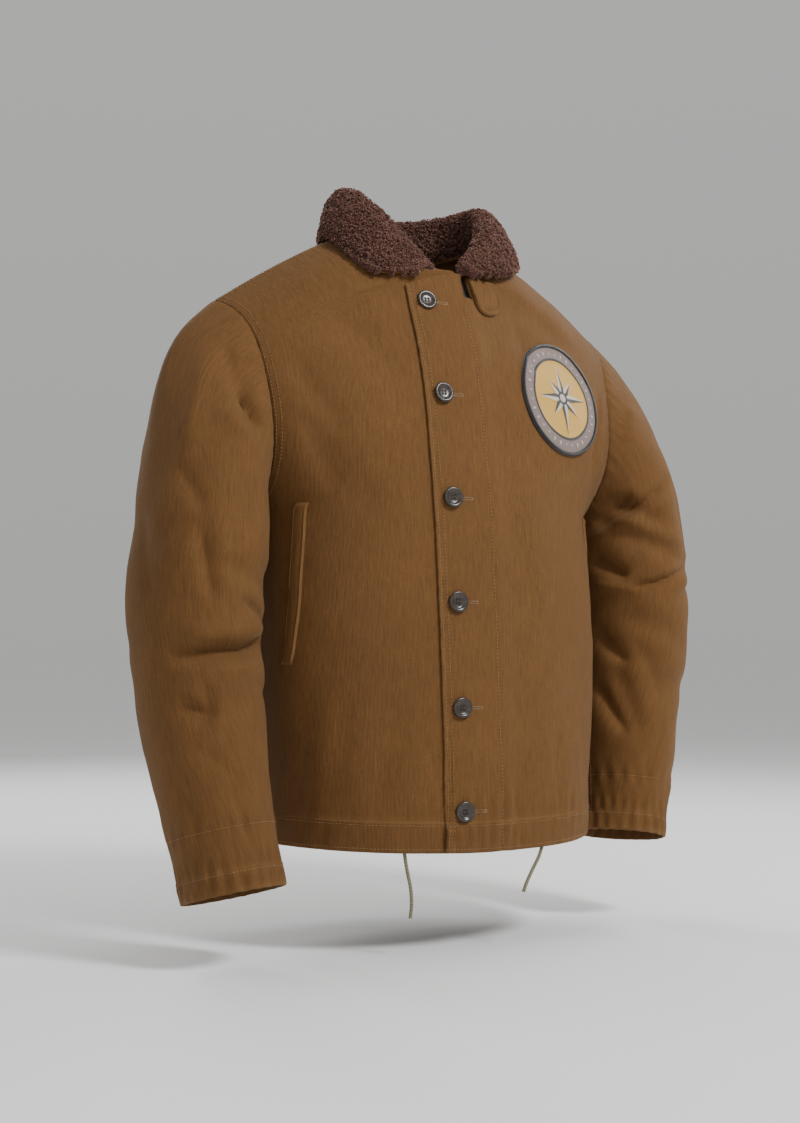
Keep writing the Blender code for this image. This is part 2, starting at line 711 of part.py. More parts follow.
def collar_section(at, side):
    """Points from the neck seam up to the roll line and down to the outer edge of the fall."""
    table = LEFT_COLLAR if side > 0 else RIGHT_COLLAR
    row = smooth_row(table, abs(at)) * np.array([side, 1, 1] * 3)
    neck, roll, edge = row[:3], row[3:6], row[6:9]
    if side < 0:
        taper = ease((abs(at) - COLLAR_TAPER_START) / (COLLAR_RIGHT_END - COLLAR_TAPER_START))
        edge = edge + (roll - edge) * taper * COLLAR_TAPER
    outward = unit((edge - neck) * (1, 1, 0))
    up = np.array([0, 0, 1.0])
    height = np.linalg.norm(roll - neck)
    fall = np.linalg.norm(edge - roll)
    points = []
    for k in range(STAND_STEPS):
        t = k / STAND_STEPS
        points.append(bezier(neck, neck + up * height * 0.4 - outward * height * 0.05,
                             roll - outward * height * 0.12 - up * height * 0.25, roll, t))
    drop = unit(edge - roll - up * 0.35 * fall)
    for k in range(FALL_STEPS + 1):
        t = k / FALL_STEPS
        points.append(bezier(roll, roll + outward * fall * 0.28 + up * height * 0.12,
                             edge - drop * fall * 0.4, edge, t))
    return points


def collar_grid():
    """The face between the collar's cloth and its pile, from the right end to the left end."""
    stations = [(-COLLAR_RIGHT_END * (1 - k / COLLAR_STEPS), -1) for k in range(COLLAR_STEPS)]
    stations += [(k / COLLAR_STEPS, 1) for k in range(COLLAR_STEPS + 1)]
    return np.array([collar_section(at, side) for at, side in stations])


def collar_panels():
    face = collar_grid()
    normals = grid_normals(face)
    under = face - normals * COLLAR_GAP / 2
    lift_off = np.zeros_like(face)
    lift_off[:, 0, 2] = COLLAR_NECK_LIFT
    cloth = Panel("collar_under", under + lift_off, 1, COLLAR_CLOTH)
    cloth.normals = normals
    pile_thickness = np.full(face.shape[:2] + (1,), PILE_DEPTH)
    pile_thickness[0] = pile_thickness[-1] = PILE_EDGE_DEPTH
    pile_thickness[:, 0] = pile_thickness[:, -1] = PILE_EDGE_DEPTH
    base = face + normals * COLLAR_GAP / 2 + lift_off * 2
    pile = Panel("collar_pile", base + normals * pile_thickness, 1, pile_thickness)
    pile.normals = normals
    return cloth, pile


def surface_solver(surface, start, centre, across, down):
    """A function from a flat place (across, down) round centre to a point on a curved face."""
    state = np.array(start, float)

    def place(a, d):
        guess = state.copy()
        for _ in range(12):
            here = surface(*guess) - centre
            miss = np.array([np.dot(here, across) - a, np.dot(here, down) - d])
            if np.abs(miss).max() < 1e-7:
                break
            step = 1e-4
            du = (surface(guess[0] + step, guess[1]) - centre - here) / step
            dv = (surface(guess[0], guess[1] + step) - centre - here) / step
            jacobian = np.array([[np.dot(du, across), np.dot(dv, across)],
                                 [np.dot(du, down), np.dot(dv, down)]])
            guess = guess - np.linalg.solve(jacobian, miss)
            guess[0] = min(max(guess[0], 0.0), 1.0)
            guess[1] = min(max(guess[1], 0.0), SHOULDER)
        return surface(*guess)

    return place


def on_front(side):
    """A function from (x, z) to the outer face of a front without its flap."""
    def surface(s, row):
        return front_point(s, row, side)

    place = surface_solver(surface, (0.4, 0.9), np.zeros(3), np.array([1.0, 0, 0]),
                           np.array([0, 0, 1.0]))
    return place


def face_normal(place, x, z):
    step = 0.002
    du = place(x + step, z) - place(x - step, z)
    dv = place(x, z + step) - place(x, z - step)
    return unit(np.cross(du, dv))


def slab(name, rings, normals, low, high, material):
    """A thin solid on rings of points, the first of which is one centre point."""
    bottom, top, faces = [], [], []
    index = []
    for ring, normal in zip(rings, normals):
        index.append([len(bottom) + k for k in range(len(ring))])
        for p, n in zip(ring, normal):
            bottom.append(tuple(p + n * low))
            top.append(tuple(p + n * high))
    count = len(bottom)
    centre = index[0][0]
    for inner, outer in zip(index, index[1:]):
        size = len(outer)
        for k in range(size):
            m = (k + 1) % size
            if len(inner) == 1:
                faces.append([centre, outer[k], outer[m]])
                faces.append([count + centre, count + outer[m], count + outer[k]])
            else:
                faces.append([inner[k], outer[k], outer[m], inner[m]])
                faces.append([count + i for i in (inner[m], outer[m], outer[k], inner[k])])
    rim = index[-1]
    for k in range(len(rim)):
        m = (k + 1) % len(rim)
        faces.append([rim[k], count + rim[k], count + rim[m], rim[m]])
    return new_object(name, bottom + top, faces, material)


def patch(material):
    place = on_front(1)
    centre = place(PATCH_X, PATCH_Z)
    normal = face_normal(place, PATCH_X, PATCH_Z)
    across = unit(np.cross(np.array([0, 0, 1.0]), normal))
    up = np.cross(normal, across)
    flat = surface_solver(lambda s, r: front_point(s, r, 1), (0.6, 1.3), centre, across, up)
    sides = 32
    rings, normals = [[centre]], [[normal]]
    for radius in (PATCH_RADIUS / 3, PATCH_RADIUS * 2 / 3, PATCH_RADIUS):
        ring, ring_normals = [], []
        for k in range(sides):
            angle = 2 * math.pi * k / sides
            a, u = radius * math.cos(angle), radius * math.sin(angle)
            ring.append(flat(a, u))
            step = 0.003
            da = flat(a + step, u) - flat(a - step, u)
            db = flat(a, u + step) - flat(a, u - step)
            ring_normals.append(unit(np.cross(da, db)))
        rings.append(ring)
        normals.append(ring_normals)
    return slab("chest_patch", rings, normals, 2 * LIFT, 2 * LIFT + PATCH_DEPTH, material)


def left_surface(x, z):
    """Outer face of the left front near the centre, with the flap's soft step."""
    place = left_surface.place
    p = place(max(x, 0.0015), z)
    return p + face_normal(place, max(x, 0.002), z) * flap_rise(x) * (WALL + FLAP_GAP)


def throat_tab(material):
    """A doubled tab with a round lower end, hanging from under the left end of the collar."""
    left_surface.place = on_front(1)
    columns, rows = 8, 7
    grid = []
    for i in range(columns + 1):
        a = i / columns
        across = 2 * a - 1
        bottom = TAB_LENGTH * (0.58 + 0.42 * math.sqrt(max(1 - abs(across) ** 2.4, 0)))
        x = TAB_X + TAB_WIDTH * a
        column = []
        for j in range(rows + 1):
            z = TAB_TOP - bottom * j / rows
            lean = 0.004 * (1 - a) * (j / rows)
            column.append((x + lean, z))
        grid.append(column)
    grid = np.array([[left_surface(x, z) for x, z in column] for column in grid])
    normals = -grid_normals(grid)
    panel = Panel("throat_tab", grid + normals * (2 * LIFT + TAB_DEPTH), 1, TAB_DEPTH)
    panel.normals = normals
    return wall_object(panel, material)


def welt(side, material):
    """A slanted strip over a front pocket's opening."""
    place = on_front(side)
    rows, columns = 10, 2
    top, bottom = np.array(WELT_TOP), np.array(WELT_BOTTOM)
    grid, normals = [], []
    for i in range(columns + 1):
        line, line_normals = [], []
        for j in range(rows + 1):
            x, z = top + (bottom - top) * j / rows
            normal = face_normal(place, side * x, z)
            sideways = unit(np.cross(normal, np.array([0, 0, 1.0])))
            offset = (i / columns - 0.5) * WELT_WIDTH
            target = place(side * x, z) + sideways * offset
            line.append(place(target[0], target[2]))
            line_normals.append(face_normal(place, target[0], target[2]))
        grid.append(line)
        normals.append(line_normals)
    grid, normals = np.array(grid), np.array(normals)
    name = "left_pocket_welt" if side > 0 else "right_pocket_welt"
    panel = Panel(name, grid + normals * (WELT_LIFT + WELT_DEPTH), 1, WELT_DEPTH)
    panel.normals = normals
    return wall_object(panel, material)


def zip_strip(material):
    """The closed zip: a narrow strip behind both fronts, seen in the notch beside the flap."""
    rows = [r for r in LOW_ROWS + HIGH_ROWS if r <= NECK_PIT]
    rows[0] = 0.02
    rows[-1] = NECK_PIT - 0.01
    steps = (-1.0, -0.35, 0.35, 1.0)
    grid, normals = [], []
    for step in steps:
        x = step * ZIP_HALF_WIDTH
        line, line_normals = [], []
        for r in rows:
            s = column_at(abs(x), r)
            side = -1 if x < 0 else 1
            p = front_base(s, r) * (side, 1, 1)
            n = base_normal(front_base, s, r, 1) * (side, 1, 1)
            line.append(p - n * (WALL + LIFT + CASING_RISE / 2))
            line_normals.append(n)
        grid.append(line)
        normals.append(line_normals)
    panel = Panel("zip", grid, 1, ZIP_DEPTH)
    panel.normals = np.array(normals)
    return wall_object(panel, material)


def button_mesh(material):
    """A round button with a raised rim, a dished middle and four holes."""
    profile = [
        # radius factor, height factor
        (0.00, 0.45), (0.50, 0.50), (0.66, 0.74), (0.82, 1.00), (0.95, 0.90), (1.00, 0.55),
        (0.90, 0.10), (0.75, 0.00), (0.00, 0.00),
    ]
    sides = 16
    vertices, rings = [], []
    for radius, height in profile:
        r, z = radius * BUTTON_RADIUS, height * BUTTON_DEPTH
        if radius == 0:
            rings.append([len(vertices)])
            vertices.append((0, 0, z))
            continue
        rings.append([len(vertices) + k for k in range(sides)])
        for k in range(sides):
            angle = 2 * math.pi * k / sides
            vertices.append((r * math.cos(angle), r * math.sin(angle), z))
    faces = []
    for a, b in zip(rings, rings[1:]):
        for k in range(sides):
            m = (k + 1) % sides
            if len(a) == 1:
                faces.append([a[0], b[k], b[m]])
            elif len(b) == 1:
                faces.append([a[k], b[0], a[m]])
            else:
                faces.append([a[k], b[k], b[m], a[m]])
    blank = new_object("button_blank", vertices, faces, material)
    cutters = []
    for k in range(4):
        angle = math.pi / 4 + k * math.pi / 2
        mesh = bpy.data.meshes.new("button_cutter")
        bm = bmesh.new()
        bmesh.ops.create_cone(bm, cap_ends=True, segments=6, radius1=BUTTON_HOLE_RADIUS,
                              radius2=BUTTON_HOLE_RADIUS, depth=BUTTON_DEPTH * 4)
        bmesh.ops.translate(bm, verts=bm.verts, vec=(BUTTON_HOLE_REACH * math.cos(angle),
                                                     BUTTON_HOLE_REACH * math.sin(angle), 0))
        bm.to_mesh(mesh)
        bm.free()
        cutter = bpy.data.objects.new("button_cutter", mesh)
        bpy.context.collection.objects.link(cutter)
        cutters.append(cutter)
        hole = blank.modifiers.new("hole", "BOOLEAN")
        hole.operation = "DIFFERENCE"
        hole.solver = "EXACT"
        hole.object = cutter
    graph = bpy.context.evaluated_depsgraph_get()
    mesh = bpy.data.meshes.new_from_object(blank.evaluated_get(graph))
    mesh.name = "button"
    for obj in cutters + [blank]:
        bpy.data.objects.remove(obj, do_unlink=True)
    return mesh


def flap_place(x, z):
    """Outer face of the flap at x (negative) and z."""
    place = flap_place.place
    return place(x, z) + face_normal(place, x, z) * (WALL + FLAP_GAP)


def buttons(material):
    flap_place.place = on_front(-1)
    mesh = button_mesh(material)
    made = []
    for k, z in enumerate(BUTTON_HEIGHTS):
        normal = face_normal(flap_place, BUTTON_X, z)
        up = unit(np.array([0, 0, 1.0]) - normal * normal[2])
        across = np.cross(up, normal)
        place = flap_place(BUTTON_X, z) + normal * 2 * LIFT
        obj = bpy.data.objects.new(f"button_{k + 1}", mesh)
        axes = np.array([across, up, normal]).T
        matrix = Matrix([list(axes[i]) + [place[i]] for i in range(3)] + [[0, 0, 0, 1]])
        obj.matrix_world = matrix
        bpy.context.collection.objects.link(obj)
        made.append(obj)
    return made


def cord(name, route, material):
    """A hanging cord end: a round tube along a smooth curve through its route."""
    keyed = [(i,) + p for i, p in enumerate(route)]
    rough = np.array([smooth_row(keyed, t) for t in np.linspace(0, len(route) - 1, 200)])
    lengths = np.concatenate([[0], np.cumsum(np.linalg.norm(np.diff(rough, axis=0), axis=1))])
    count = max(int(lengths[-1] / (2.2 * CORD_DIAMETER)), 6)
    wanted = np.linspace(0, lengths[-1], count + 1)
    points = np.array([[np.interp(w, lengths, rough[:, i]) for i in range(3)] for w in wanted])
    curve = bpy.data.curves.new(name, "CURVE")
    curve.dimensions = "3D"
    spline = curve.splines.new("POLY")
    spline.points.add(len(points) - 1)
    for point, p in zip(spline.points, points):
        point.co = (*p, 1)
    curve.bevel_depth = CORD_DIAMETER / 2
    curve.bevel_resolution = 2
    curve.use_fill_caps = True
    curve.materials.append(material)
    obj = bpy.data.objects.new(name, curve)
    bpy.context.collection.objects.link(obj)
    return obj


def make_materials():
    made = {}
    for name, (red, green, blue, roughness, metallic) in MATERIALS.items():
        material = bpy.data.materials.new(name)
        material.use_nodes = True
        shader = material.node_tree.nodes["Principled BSDF"]
        shader.inputs["Base Color"].default_value = (red, green, blue, 1)
        shader.inputs["Roughness"].default_value = roughness
        shader.inputs["Metallic"].default_value = metallic
        made[name] = material
    return made


def build():
    for obj in list(bpy.data.objects):
        bpy.data.objects.remove(obj, do_unlink=True)
    materials = make_materials()
    torso_panels = [front_panel(1), front_panel(-1), back_panel(), sleeve_panel(1), sleeve_panel(-1)]
    seam_normals(torso_panels)
    for panel in torso_panels:
        wall_object(panel, materials["cloth"])
    under, pile = collar_panels()
    wall_object(under, materials["cloth"])
    wall_object(pile, materials["pile"])
    throat_tab(materials["cloth"])
    for side in (1, -1):
        welt(side, materials["cloth"])
    patch(materials["patch"])
    zip_strip(materials["zip"])
    buttons(materials["button"])
    cord("left_drawcord", LEFT_CORD, materials["cord"])
    cord("right_drawcord", RIGHT_CORD, materials["cord"])


build()
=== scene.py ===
"""Looks of the deck jacket, on the same frame as its solids.

The tables and the base functions are the ones that the solids were made from. Each cloth piece is
the same form on a finer grid, with its creases, puckers, seams and stitches; the origin, the axes
and the mirrored halves are as in the part.
"""

import math

import bpy
import numpy as np
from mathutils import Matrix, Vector, noise


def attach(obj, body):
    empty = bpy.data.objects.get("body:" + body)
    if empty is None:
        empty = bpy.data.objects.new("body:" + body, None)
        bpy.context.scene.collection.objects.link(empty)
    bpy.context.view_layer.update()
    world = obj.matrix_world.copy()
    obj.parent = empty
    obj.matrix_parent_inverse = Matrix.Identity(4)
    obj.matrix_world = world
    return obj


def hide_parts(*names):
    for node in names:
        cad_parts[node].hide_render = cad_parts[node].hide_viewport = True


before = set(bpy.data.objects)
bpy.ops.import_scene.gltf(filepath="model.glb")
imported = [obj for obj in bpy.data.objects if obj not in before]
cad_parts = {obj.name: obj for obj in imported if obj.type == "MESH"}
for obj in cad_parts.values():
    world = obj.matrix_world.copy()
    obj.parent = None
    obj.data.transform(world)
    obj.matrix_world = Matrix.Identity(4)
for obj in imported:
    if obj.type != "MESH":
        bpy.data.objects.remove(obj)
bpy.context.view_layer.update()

# Cloth and gaps
WALL = 0.003
LIFT = 0.0004
FLAP_GAP = 0.0006

# Storm flap, measured along X from the centre front
NOTCH_WIDTH = 0.009
STEP_START = 0.024
STEP_END = -0.002

# Hem casing and cuff bands
CASING_HEIGHT = 0.030
CASING_RISE = 0.0012
CUFF_BAND = 0.020
CUFF_RISE = 0.0010
SLEEVE_RADIUS = 0.065

# Row values of the torso grid
NECK_PIT = 1.63
NOTCH_ROW = 1.565
NECK_BACK = 1.81
SHOULDER = 2.0

# The centre front and the front neck: row, point, direction in which a row leaves it, reach
CENTRE_FRONT = [
    # row    x       y       z       dx    dy     dz     reach
    (0.000, 0.000, -0.158, -0.636, 1.00, 0.00, 0.00, 0.114),
    (0.180, 0.000, -0.157, -0.576, 1.00, 0.00, 0.00, 0.118),
    (0.440, 0.000, -0.151, -0.487, 1.00, 0.00, 0.00, 0.126),
    (0.730, 0.000, -0.144, -0.387, 1.00, 0.00, 0.00, 0.130),
    (1.000, 0.000, -0.137, -0.295, 1.00, 0.00, 0.00, 0.126),
    (1.160, 0.000, -0.128, -0.237, 1.00, 0.00, 0.00, 0.118),
    (1.290, 0.000, -0.1186, -0.185, 1.00, 0.00, -0.02, 0.110),
    (1.430, 0.000, -0.1055, -0.131, 1.00, 0.00, -0.04, 0.095),
    (1.565, 0.000, -0.0870, -0.077, 1.00, 0.02, -0.06, 0.080),
    (1.630, 0.000, -0.0790, -0.051, 1.00, 0.04, -0.08, 0.075),
    (1.740, 0.035, -0.0700, -0.043, 0.98, -0.06, -0.20, 0.065),
    (1.870, 0.063, -0.0450, -0.022, 0.95, -0.08, -0.33, 0.055),
    (2.000, 0.080, 0.0000, 0.000, 0.93, 0.00, -0.36, 0.055),
]

# The side seam and the front half of the armhole
FRONT_SIDE = [
    # row    x       y       z       dx    dy     dz     reach
    (0.000, 0.185, 0.000, -0.631, 0.00, 1.00, 0.00, 0.090),
    (0.180, 0.190, 0.000, -0.574, 0.00, 1.00, 0.00, 0.092),
    (0.440, 0.195, 0.000, -0.487, 0.00, 1.00, 0.00, 0.092),
    (0.730, 0.196, 0.000, -0.387, 0.00, 1.00, 0.00, 0.085),
    (0.980, 0.198, 0.000, -0.303, 0.04, 1.00, 0.00, 0.071),
    (1.000, 0.198, 0.000, -0.297, 0.06, 1.00, 0.00, 0.070),
    (1.120, 0.201, -0.033, -0.280, 0.30, 0.95, 0.00, 0.050),
    (1.240, 0.205, -0.056, -0.250, 0.55, 0.82, -0.05, 0.045),
    (1.360, 0.208, -0.064, -0.220, 0.65, 0.74, -0.10, 0.042),
    (1.490, 0.211, -0.062, -0.188, 0.72, 0.65, -0.15, 0.040),
    (1.620, 0.215, -0.052, -0.150, 0.78, 0.52, -0.25, 0.040),
    (1.760, 0.221, -0.037, -0.119, 0.82, 0.34, -0.40, 0.042),
    (1.880, 0.230, -0.018, -0.099, 0.82, 0.16, -0.52, 0.045),
    (2.000, 0.239, 0.005, -0.089, 0.82, 0.00, -0.57, 0.050),
]

# The centre back and the back neck
CENTRE_BACK = [
    # row    x       y       z       dx    dy     dz     reach
    (0.000, 0.000, 0.120, -0.631, 1.00, 0.00, 0.00, 0.112),
    (0.440, 0.000, 0.118, -0.487, 1.00, 0.00, 0.00, 0.120),
    (0.730, 0.000, 0.121, -0.387, 1.00, 0.00, 0.00, 0.120),
    (1.000, 0.000, 0.130, -0.290, 1.00, 0.00, 0.00, 0.118),
    (1.300, 0.000, 0.134, -0.185, 1.00, 0.00, 0.00, 0.112),
    (1.500, 0.000, 0.126, -0.115, 1.00, 0.00, 0.00, 0.100),
    (1.680, 0.000, 0.104, -0.057, 1.00, 0.00, -0.04, 0.085),
    (1.810, 0.000, 0.078, -0.015, 1.00, 0.02, -0.06, 0.070),
    (1.880, 0.036, 0.067, -0.012, 0.97, 0.06, -0.20, 0.062),
    (1.950, 0.066, 0.038, -0.005, 0.94, 0.06, -0.32, 0.055),
    (2.000, 0.080, 0.000, 0.000, 0.93, 0.00, -0.36, 0.055),
]

# The side seam and the back half of the armhole
BACK_SIDE = [
    # row    x       y       z       dx    dy     dz     reach
    (0.000, 0.185, 0.000, -0.631, 0.00, -1.00, 0.00, 0.080),
    (0.180, 0.190, 0.000, -0.574, 0.00, -1.00, 0.00, 0.080),
    (0.440, 0.195, 0.000, -0.487, 0.00, -1.00, 0.00, 0.078),
    (0.730, 0.196, 0.000, -0.387, 0.00, -1.00, 0.00, 0.078),
    (0.980, 0.198, 0.000, -0.303, 0.04, -1.00, 0.00, 0.070),
    (1.000, 0.198, 0.000, -0.297, 0.06, -1.00, 0.00, 0.070),
    (1.120, 0.201, 0.036, -0.280, 0.30, -0.95, 0.00, 0.050),
    (1.240, 0.205, 0.062, -0.250, 0.50, -0.86, 0.00, 0.042),
    (1.360, 0.208, 0.073, -0.216, 0.62, -0.78, -0.05, 0.040),
    (1.490, 0.211, 0.075, -0.182, 0.70, -0.70, -0.10, 0.040),
    (1.620, 0.215, 0.069, -0.148, 0.76, -0.60, -0.20, 0.040),
    (1.760, 0.221, 0.053, -0.119, 0.82, -0.42, -0.35, 0.042),
    (1.880, 0.230, 0.030, -0.099, 0.82, -0.20, -0.50, 0.045),
    (2.000, 0.239, 0.005, -0.089, 0.82, 0.00, -0.57, 0.050),
]

# Direction in which the sleeve leaves the armhole: armhole fraction, front half then back half
SLEEVE_START = [
    # at     dx     dy     dz
    (0.00, 0.45, 0.00, -0.90),
    (0.12, 0.50, -0.35, -0.80),
    (0.25, 0.62, -0.40, -0.68),
    (0.38, 0.78, -0.20, -0.60),
    (0.50, 0.82, 0.00, -0.57),
    (0.62, 0.78, 0.20, -0.60),
    (0.75, 0.62, 0.40, -0.68),
    (0.88, 0.50, 0.35, -0.80),
    (1.00, 0.45, 0.00, -0.90),
]

# Sleeve rings: centre, half width outwards, half width front to back
RIGHT_ARM = [
    # x       y       z       out    fore
    (0.2650, -0.020, -0.322, 0.0625, 0.081),
    (0.2715, -0.022, -0.370, 0.0640, 0.080),
    (0.2745, -0.026, -0.420, 0.0630, 0.077),
    (0.2745, -0.036, -0.480, 0.0590, 0.072),
    (0.2725, -0.050, -0.540, 0.0560, 0.067),
    (0.2685, -0.066, -0.600, 0.0520, 0.061),
    (0.2645, -0.079, -0.645, 0.0490, 0.057),
    (0.2625, -0.085, -0.669, 0.0480, 0.056),
]
LEFT_ARM = [
    # x       y       z       out    fore
    (0.2625, -0.020, -0.318, 0.0605, 0.081),
    (0.2680, -0.021, -0.360, 0.0625, 0.080),
    (0.2720, -0.019, -0.410, 0.0620, 0.077),
    (0.2700, -0.018, -0.470, 0.0590, 0.071),
    (0.2640, -0.022, -0.530, 0.0550, 0.066),
    (0.2570, -0.029, -0.590, 0.0510, 0.060),
    (0.2465, -0.036, -0.645, 0.0470, 0.056),
]

# Folds of the sleeves, as lines from (angle, z) to (angle, z). The angle is 0 at the inside of the
# arm, 90 in front, 180 outside and 270 behind. A negative depth is a trough.
RIGHT_FOLDS = [
    # angle0  z0    angle1  z1    width   depth
    (140, -0.446, 30, -0.432, 0.013, -0.0075),
    (130, -0.424, 40, -0.412, 0.012, 0.0040),
    (118, -0.352, 25, -0.382, 0.013, -0.0050),
    (112, -0.140, 104, -0.205, 0.012, -0.0060),
    (104, -0.205, 70, -0.232, 0.012, -0.0045),
    (150, -0.500, 70, -0.484, 0.013, -0.0035),
    (210, -0.300, 150, -0.345, 0.016, -0.0030),
    (215, -0.470, 300, -0.430, 0.015, -0.0055),
    (220, -0.400, 310, -0.380, 0.015, -0.0050),
    (330, -0.520, 250, -0.545, 0.014, -0.0040),
    (175, -0.585, 95, -0.560, 0.014, -0.0025),
]
LEFT_FOLDS = [
    # angle0  z0    angle1  z1    width   depth
    (20, -0.262, 92, -0.300, 0.012, -0.0070),
    (25, -0.300, 150, -0.352, 0.013, -0.0060),
    (30, -0.285, 110, -0.322, 0.011, 0.0035),
    (40, -0.400, 120, -0.432, 0.014, -0.0045),
    (35, -0.455, 65, -0.530, 0.013, -0.0055),
    (150, -0.480, 80, -0.470, 0.014, -0.0030),
    (215, -0.440, 300, -0.410, 0.015, -0.0055),
    (225, -0.375, 310, -0.350, 0.015, -0.0045),
    (320, -0.520, 240, -0.540, 0.014, -0.0035),
    (175, -0.570, 95, -0.585, 0.014, -0.0025),
]

# Soft folds of the torso, as lines from (x, z) to (x, z) on the front or the back
FRONT_FOLDS = [
    # x0      z0      x1      z1     width   depth
    (-0.150, -0.110, -0.085, -0.190, 0.018, -0.0030),
    (-0.110, -0.070, -0.090, -0.130, 0.014, 0.0020),
    (-0.178, -0.220, -0.120, -0.300, 0.020, -0.0030),
    (-0.110, -0.470, -0.135, -0.600, 0.022, -0.0025),
    (0.185, -0.250, 0.140, -0.350, 0.018, -0.0035),
    (0.110, -0.440, 0.130, -0.590, 0.022, -0.0025),
]
BACK_FOLDS = [
    # x0      z0      x1      z1     width   depth
    (0.180, -0.230, 0.115, -0.330, 0.020, -0.0040),
    (-0.180, -0.230, -0.115, -0.330, 0.020, -0.0040),
    (0.060, -0.400, 0.075, -0.590, 0.024, -0.0030),
    (-0.065, -0.380, -0.080, -0.580, 0.024, -0.0030),
    (-0.120, -0.110, 0.110, -0.118, 0.020, -0.0020),
]

# Collar stations from the centre back to the front end: neck seam, roll line, outer edge of the
# fall. The right half, whose X values are mirrored, lies lower in front than the left one.
LEFT_COLLAR = [
    # at     neck x, y, z             roll x, y, z              edge x, y, z
    (0.00, 0.000, 0.0780, -0.0150, 0.000, 0.0840, 0.0300, 0.000, 0.1180, -0.0260),
    (0.22, 0.036, 0.0670, -0.0120, 0.039, 0.0725, 0.0320, 0.050, 0.1000, -0.0240),
    (0.42, 0.066, 0.0380, -0.0050, 0.069, 0.0410, 0.0360, 0.087, 0.0520, -0.0170),
    (0.58, 0.080, 0.0000, 0.0000, 0.076, -0.0020, 0.0350, 0.108, 0.0000, -0.0065),
    (0.74, 0.066, -0.0400, -0.0190, 0.055, -0.0420, 0.0080, 0.090, -0.0520, -0.0290),
    (0.87, 0.045, -0.0620, -0.0350, 0.036, -0.0590, -0.0140, 0.060, -0.0790, -0.0420),
    (0.94, 0.028, -0.0725, -0.0450, 0.020, -0.0710, -0.0310, 0.036, -0.0860, -0.0480),
    (1.00, 0.002, -0.0790, -0.0500, 0.002, -0.0800, -0.0430, 0.008, -0.0900, -0.0500),
]
RIGHT_COLLAR = LEFT_COLLAR[:3] + [
    (0.58, 0.080, 0.0000, 0.0000, 0.080, 0.0020, 0.0350, 0.112, 0.0000, -0.0080),
    (0.74, 0.066, -0.0400, -0.0190, 0.068, -0.0330, 0.0090, 0.110, -0.0480, -0.0370),
    (0.87, 0.045, -0.0620, -0.0350, 0.053, -0.0570, -0.0220, 0.094, -0.0760, -0.0530),
    (0.94, 0.028, -0.0725, -0.0450, 0.034, -0.0770, -0.0440, 0.062, -0.0910, -0.0580),
    (1.00, 0.002, -0.0790, -0.0500, 0.010, -0.0850, -0.0520, 0.040, -0.0960, -0.0600),
]
COLLAR_RIGHT_END = 0.915
COLLAR_TAPER_START = 0.86
COLLAR_TAPER = 0.45
COLLAR_CLOTH = 0.002
PILE_DEPTH = 0.009
PILE_EDGE_DEPTH = 0.005

# Buttons: centre line from the centre front, heights, size
BUTTON_X = -0.047
BUTTON_HEIGHTS = (-0.0855, -0.182, -0.287, -0.390, -0.494, -0.595)
BUTTON_RADIUS = 0.0104
BUTTON_DEPTH = 0.0032
BUTTON_HOLE_RADIUS = 0.0012
BUTTON_HOLE_REACH = 0.0022

# Chest patch
PATCH_X = 0.115
PATCH_Z = -0.172
PATCH_RADIUS = 0.0615
PATCH_DEPTH = 0.0016

# Throat tab: outline across and down from its top inner corner
TAB_X = 0.0065
TAB_WIDTH = 0.038
TAB_TOP = -0.056
TAB_LENGTH = 0.037
TAB_DEPTH = 0.0035

# Pocket welts: ends of their centre line on the front, mirrored for the right one
WELT_TOP = (0.1765, -0.292)
WELT_BOTTOM = (0.1880, -0.452)
WELT_WIDTH = 0.015
WELT_DEPTH = 0.0022
WELT_LIFT = 0.0010

# Drawcord ends, as routes from inside the hem casing
CORD_DIAMETER = 0.0036
LEFT_CORD = [
    (0.0560, -0.1473, -0.6180),
    (0.0545, -0.1478, -0.6320),
    (0.0490, -0.1493, -0.6450),
    (0.0400, -0.1503, -0.6580),
    (0.0330, -0.1503, -0.6700),
    (0.0290, -0.1498, -0.6800),
]
RIGHT_CORD = [
    (-0.1000, -0.1302, -0.6180),
    (-0.1005, -0.1307, -0.6340),
    (-0.0985, -0.1322, -0.6510),
    (-0.0955, -0.1337, -0.6680),
    (-0.0945, -0.1342, -0.6840),
    (-0.0960, -0.1342, -0.6980),
]

# Grid steps
LOW_ROWS = [0.0, 0.045, 0.086, 0.098, 0.18, 0.27, 0.36, 0.45, 0.54, 0.63, 0.72, 0.81, 0.905]
HIGH_ROWS = [1.0, 1.09, 1.18, 1.28, 1.38, 1.475, NOTCH_ROW, NECK_PIT, 1.72, NECK_BACK, 1.905, SHOULDER]
FLAP_COLUMNS = [-0.066, -0.056, -0.047, -0.032, -0.016, -0.002]
LEFT_COLUMNS = [NOTCH_WIDTH, STEP_START]
RIGHT_COLUMNS = [0.003, 0.016, 0.032, 0.047, 0.056, 0.066]
TOP_STEPS = 10
BACK_GAP = 0.012
CAP_STEPS = 7
ARM_STEPS = 22
ARM_REACH = 0.01
COLLAR_STEPS = 13
STAND_STEPS = 3
FALL_STEPS = 5
HALVINGS = 30


def hermite(t):
    """Weights of a cell's start, its slope there, its end and its slope there."""
    return (2 * t ** 3 - 3 * t ** 2 + 1, t ** 3 - 2 * t ** 2 + t,
            3 * t ** 2 - 2 * t ** 3, t ** 3 - t ** 2)


